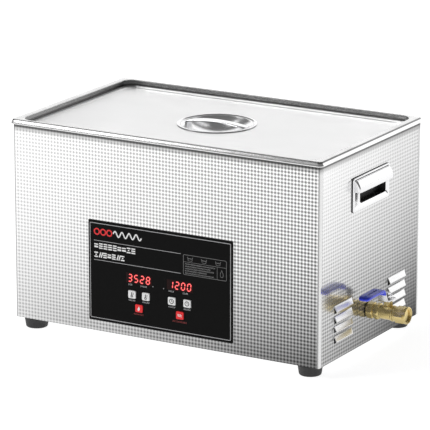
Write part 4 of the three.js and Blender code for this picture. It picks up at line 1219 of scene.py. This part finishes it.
box_outline = rounded_ring(36.9, 15.35, 1.5, 0, 4, (72.4, 143.9))[:, :2]
small = [inked(box_outline, 0.55, closed=True),
         inked([(35.8, 148.3), (109.0, 148.3)], 0.45),
         inked([(93.6, 128.8), (93.6, 148.3)], 0.45)]
for row in range(5):
    small += stroke_row(38.0, (91.0, 84.0, 89.0, 78.0, 90.0)[row], 145.2 - row * 3.5, 1.9, 20 + row, 0.42)
for u in (47.0, 71.0, 95.0):
    small.append(inked([(u - 4.5, 156.5), (u - 3.2, 150.6), (u + 3.2, 150.6), (u + 4.5, 156.5)], 0.55))
    level = np.linspace(u - 3.4, u + 3.4, 20)
    small.append(inked(np.stack([level, 154.0 + 0.6 * np.sin(level * 2.6)], -1), 0.5))
drop_turn = np.linspace(0, 2 * math.pi, 40, endpoint=False)
drop_side = 3.6 * np.sin(drop_turn) * np.sin(drop_turn / 2) ** 1.4
small.append(inked(np.stack([101.4 + drop_side, 138.6 + 5.6 * np.cos(drop_turn)], -1), 0.55, closed=True))
printed("print_grey_box", small, grey_ink)
print("parts of the small box:", len(small))

# %% [markdown]
# Short rows of small strokes stand beside the keys, two rows in silver and one in red.

# %% Key labels
labels = []
for n, (u, wide_label) in enumerate(((-56.6, 9.0), (-33.6, 13.0), (15.3, 12.0), (39.7, 12.0))):
    labels += stroke_row(u - wide_label / 2, u + wide_label / 2, 98.9, 2.3, 40 + n, 0.5)
for n, u in enumerate((-54.2, -30.0, 15.4, 42.2)):
    labels += stroke_row(u - 6.5, u + 6.5, 74.4, 2.3, 50 + n, 0.5)
printed("print_grey_labels", labels, silver_ink)
reds = stroke_row(-52.0, -32.0, 54.0, 2.4, 61, 0.5) + stroke_row(16.0, 43.5, 53.2, 2.4, 62, 0.5)
printed("print_red_labels", reds, dim_red_ink)
print("label strokes:", len(labels) + len(reds))

# %% [markdown]
# ## Displays
# A smoked window lies flush with the film. Each digit has up to seven sloped bars. A wide
# deep red bar carries a narrow brighter one, because a lit bar is brightest in its middle.

# %% Displays
smoke = ink("smoked_window", (0.016, 0.006, 0.006), (0.020, 0.007, 0.007), 0.45)
smoke.set("Specular IOR Level", 0.08)
SEGMENTS = {
    "a": ((0, 2), (1, 2)), "b": ((1, 2), (1, 1)), "c": ((1, 1), (1, 0)), "d": ((0, 0), (1, 0)),
    "e": ((0, 1), (0, 0)), "f": ((0, 2), (0, 1)), "g": ((0, 1), (1, 1))}
LIT = {"0": "abcdef", "1": "bc", "2": "abged", "3": "abgcd", "5": "afgcd", "8": "abcdefg"}
DIGIT_WIDE, DIGIT_HIGH, DIGIT_STEP, SLOPE = 5.6, 10.8, 10.45, 0.09


def segment(start, end, u, v, width):
    """One bar: a long hexagon between two corners of the digit, leaning to the right."""
    a = np.array([start[0] * DIGIT_WIDE, start[1] * DIGIT_HIGH / 2])
    b = np.array([end[0] * DIGIT_WIDE, end[1] * DIGIT_HIGH / 2])
    ahead = (b - a) / np.linalg.norm(b - a)
    side = np.array([-ahead[1], ahead[0]]) * width / 2
    a, b = a + ahead * 0.45, b - ahead * 0.45
    tip = ahead * width / 2
    outline = np.array([a, a + tip + side, b - tip + side, b, b - tip - side, a + tip - side])
    outline[:, 0] += outline[:, 1] * SLOPE
    return outline + (u, v)


def digits(text, left, low, width, high):
    """All lit bars of a number; high is how far they stand out."""
    parts = []
    for n, figure in enumerate(text):
        for name in LIT[figure]:
            outline = segment(*SEGMENTS[name], left + n * DIGIT_STEP, low, width)
            parts.append(slab(outline, PRINT_LOW, high))
    return parts


def glow(name, color):
    """A lit plastic bar: its own light, a little uneven, on a satin surface."""
    finish = Finish(name, color, roughness=0.4, emission_strength=1.0)
    brighter = tuple(min(1, c * 1.15 + 0.005) for c in color)
    finish.set("Emission Color", finish.blend(finish.noise(300.0), color, brighter))
    return finish


led_red = glow("led_red", (0.62, 0.012, 0.016))
led_core = glow("led_core", (1.0, 0.16, 0.15))
for name, text, node in (("temperature", "3528", "display_temperature"), ("timer", "1200", "display_timer")):
    low, high = cad(node)
    x, _, z = (low + high) / 2
    left = x - 18.5
    window = pad(22.8, 7.8, 0.6, -3.0, -0.02, 0.1, FRONT, (x, PANEL_Y, z), 3)
    piece("window_" + name, [window], smoke, stands_for=[node])
    base = z - DIGIT_HIGH / 2
    printed("digits_" + name, digits(text, left, base, 2.0, 0.06), led_red)
    printed("digit_cores_" + name, digits(text, left, base, 0.95, 0.1), led_core)
dots = [slab(arc((u, v), 0.75, 0, 345, 16), PRINT_LOW, PRINT_HIGH) for u, v in ((-17.7, 101.3), (1.0, 101.1))]
printed("panel_lamps", dots, silver_ink)
print("displays lit")

# %% [markdown]
# ## Keys
# Six square caps with a soft edge. Four are white with dark signs, two are red with white
# signs. Each cap and its sign ride on their own body, so they go in together. The signs are
# a thermometer, a clock, a flame and two waves, drawn from arcs, lines and sines.

# %% Keys
SIGN_LOW, SIGN_HIGH = -0.02, 0.08
white_cap = ink("white_cap", (0.86, 0.86, 0.86), (0.90, 0.90, 0.90), 0.4)
red_cap = ink("red_cap", (0.85, 0.008, 0.012), (0.92, 0.012, 0.016), 0.4)
sign_ink = ink("sign_ink", (0.04, 0.04, 0.04), (0.06, 0.06, 0.06))


def drawn(path, width, closed=False):
    """A line of a key's sign."""
    return ribbon(path, width, SIGN_LOW, SIGN_HIGH, closed)


def thermometer(u, v):
    """A bulb, a stem and two marks beside it."""
    return [drawn(arc((u, v - 2.4), 1.5, 0, 345, 16), 1.2, closed=True),
            drawn([(u, v - 1.2), (u, v + 3.6)], 1.5),
            drawn([(u + 1.7, v + 2.6), (u + 3.6, v + 2.6)], 0.9),
            drawn([(u + 1.7, v + 0.6), (u + 3.2, v + 0.6)], 0.9)]


def clock(u, v):
    """A round face with two hands."""
    return [drawn(arc((u, v), 3.4, 0, 350, 28), 1.1, closed=True),
            drawn([(u, v + 2.1), (u, v), (u + 1.7, v)], 1.0)]


def flame(u, v):
    """A drop: its half width is sin(t) * sin(t / 2) to the power 1.2 while its height is cos(t)."""
    turn = np.linspace(0, 2 * math.pi, 40, endpoint=False)
    bulge = np.sin(turn) * np.sin(turn / 2) ** 1.2
    outline = np.stack([u + 2.6 * bulge + 0.5 * np.cos(turn), v + 3.6 * np.cos(turn)], -1)
    return [slab(outline, SIGN_LOW, SIGN_HIGH)]


def waves(u, v):
    """Two sine waves, one above the other."""
    run = np.linspace(-3.6, 3.6, 30)
    return [drawn(np.stack([u + run, v + level + 0.7 * np.sin(run * 1.75)], -1), 0.8)
            for level in (-1.1, 1.1)]


KEYS = (("temperature_up", white_cap, thermometer), ("temperature_down", white_cap, thermometer),
        ("time_down", white_cap, clock), ("time_up", white_cap, clock),
        ("heat", red_cap, flame), ("ultrasonic", red_cap, waves))
for name, cap, sign in KEYS:
    low, high = cad("key_" + name)
    x, _, z = (low + high) / 2
    half_x, half_z = (high[0] - low[0]) / 2, (high[2] - low[2]) / 2
    face = low[1]
    part = pad(half_x, half_z, 1.6, -(PANEL_Y - face) - 9.0, 0.0, 0.5, FRONT, (x, face, z), 5)
    piece("cap_" + name, [part], cap, body="button_" + name,
          stands_for=["key_" + name])
    mark = sign_ink if cap is white_cap else white_ink
    printed("sign_" + name, sign(x, z), mark,
            "button_" + name, face)
print("keys:", len(KEYS))

# %% [markdown]
# ## Inside and rear
# Boards, heaters, transducers, the fan and the sockets at the rear keep the model's own
# shape, since little of them is ever seen. Each gets the finish of its real material.

# %% Inside and rear
black_plastic = ink("black_plastic", (0.016, 0.016, 0.017), (0.024, 0.024, 0.025), 0.4)
black_plastic.bump(black_plastic.noise(1200.0, 2.0), 0.08, 0.0001)
cast_aluminium = brushed("aluminium", (0.70, 0.70, 0.71), (0.62, 0.62, 0.63), (0.3, 0.45), (1, 1, 1), 300.0)
board_green = ink("circuit_board", (0.010, 0.11, 0.04), (0.014, 0.14, 0.05), 0.4)
heater_mat = ink("heater_rubber", (0.30, 0.07, 0.03), (0.36, 0.09, 0.04), 0.6)
screw_steel = brushed("screw_steel", (0.70, 0.70, 0.72), (0.6, 0.6, 0.62), (0.2, 0.34), (1, 1, 1), 200.0)
dress(plain_steel, "rear_panel", "base_plate")
dress(brass, "drain_elbow", "drain_tank_nut")
dress(nut_steel, "valve_stem")
dress(polished, "valve_ball")
dress(cast_aluminium, *["transducer_%d" % n for n in range(1, 9)], "heat_sink")
dress(board_green, "control_board", "generator_board")
dress(heater_mat, "heater_front", "heater_rear")
dress(black_plastic, "fan_frame", "fan_rotor", "power_inlet", "switch_frame", "switch_rocker", "fuse_holder")
dress(screw_steel, "fan_guard", *["foot_screw_" + place for place in FOOT_NAMES])
print("inside and rear dressed")

# %% [markdown]
# ## Light
# A pale floor that gives some light itself, so that it stays pale in the steel. A soft key
# from the upper left, a long low soft box behind, which the lid, rim and louvres mirror,
# two small soft boxes above for the bowl of the grip, and a dim surround.

# %% Floor, light and colour
bpy.context.scene.view_settings.view_transform = "Standard"
world = bpy.data.worlds.new("studio")
bpy.context.scene.world = world
world.use_nodes = True
world.node_tree.nodes["Background"].inputs["Color"].default_value = (1.0, 1.0, 1.0, 1.0)
world.node_tree.nodes["Background"].inputs["Strength"].default_value = 0.16
floor_points = np.array([(-12, -12, 0), (12, -12, 0), (12, 12, 0), (-12, 12, 0)], float)
floor_mesh = bpy.data.meshes.new("floor")
floor_mesh.from_pydata(floor_points.tolist(), [], [(0, 1, 2, 3)])
floor = bpy.data.objects.new("floor", floor_mesh)
bpy.context.collection.objects.link(floor)
pale = Finish("pale_floor", (0.5, 0.5, 0.5), roughness=0.9, emission_strength=0.85)
pale.set("Base Color", pale.blend(pale.noise(0.6), (0.50, 0.50, 0.50), (0.52, 0.52, 0.52)))
pale.set("Emission Color", (1.0, 1.0, 1.0))
floor_mesh.materials.append(pale.material)


def area_light(name, place, aim_at, size, power):
    """A soft box: a rectangle of light that faces a point."""
    data = bpy.data.lights.new(name, "AREA")
    data.shape = "RECTANGLE"
    data.size, data.size_y = size
    data.energy = power
    light = bpy.data.objects.new(name, data)
    back = np.array(place, float) - np.array(aim_at, float)
    back /= np.linalg.norm(back)
    tilt = math.acos(back[2])
    light.location = place
    light.rotation_euler = (tilt, 0, math.atan2(back[0], -back[1]))
    bpy.context.collection.objects.link(light)


area_light("key_left", (-2.6, -2.2, 2.8), (-0.2, 0, 0.2), (2.0, 2.0), 70)
area_light("back_wall", (0.0, 5.5, 1.85), (0, 0, 0.5), (13.0, 3.5), 157)
area_light("patch_left", (-2.1, 1.7, 3.1), (0, 0, 0.3), (0.7, 0.5), 1.3)
area_light("patch_right", (-0.5, 2.5, 3.0), (0, 0, 0.3), (0.7, 0.5), 1.3)
print("lights:", len(bpy.data.lights))
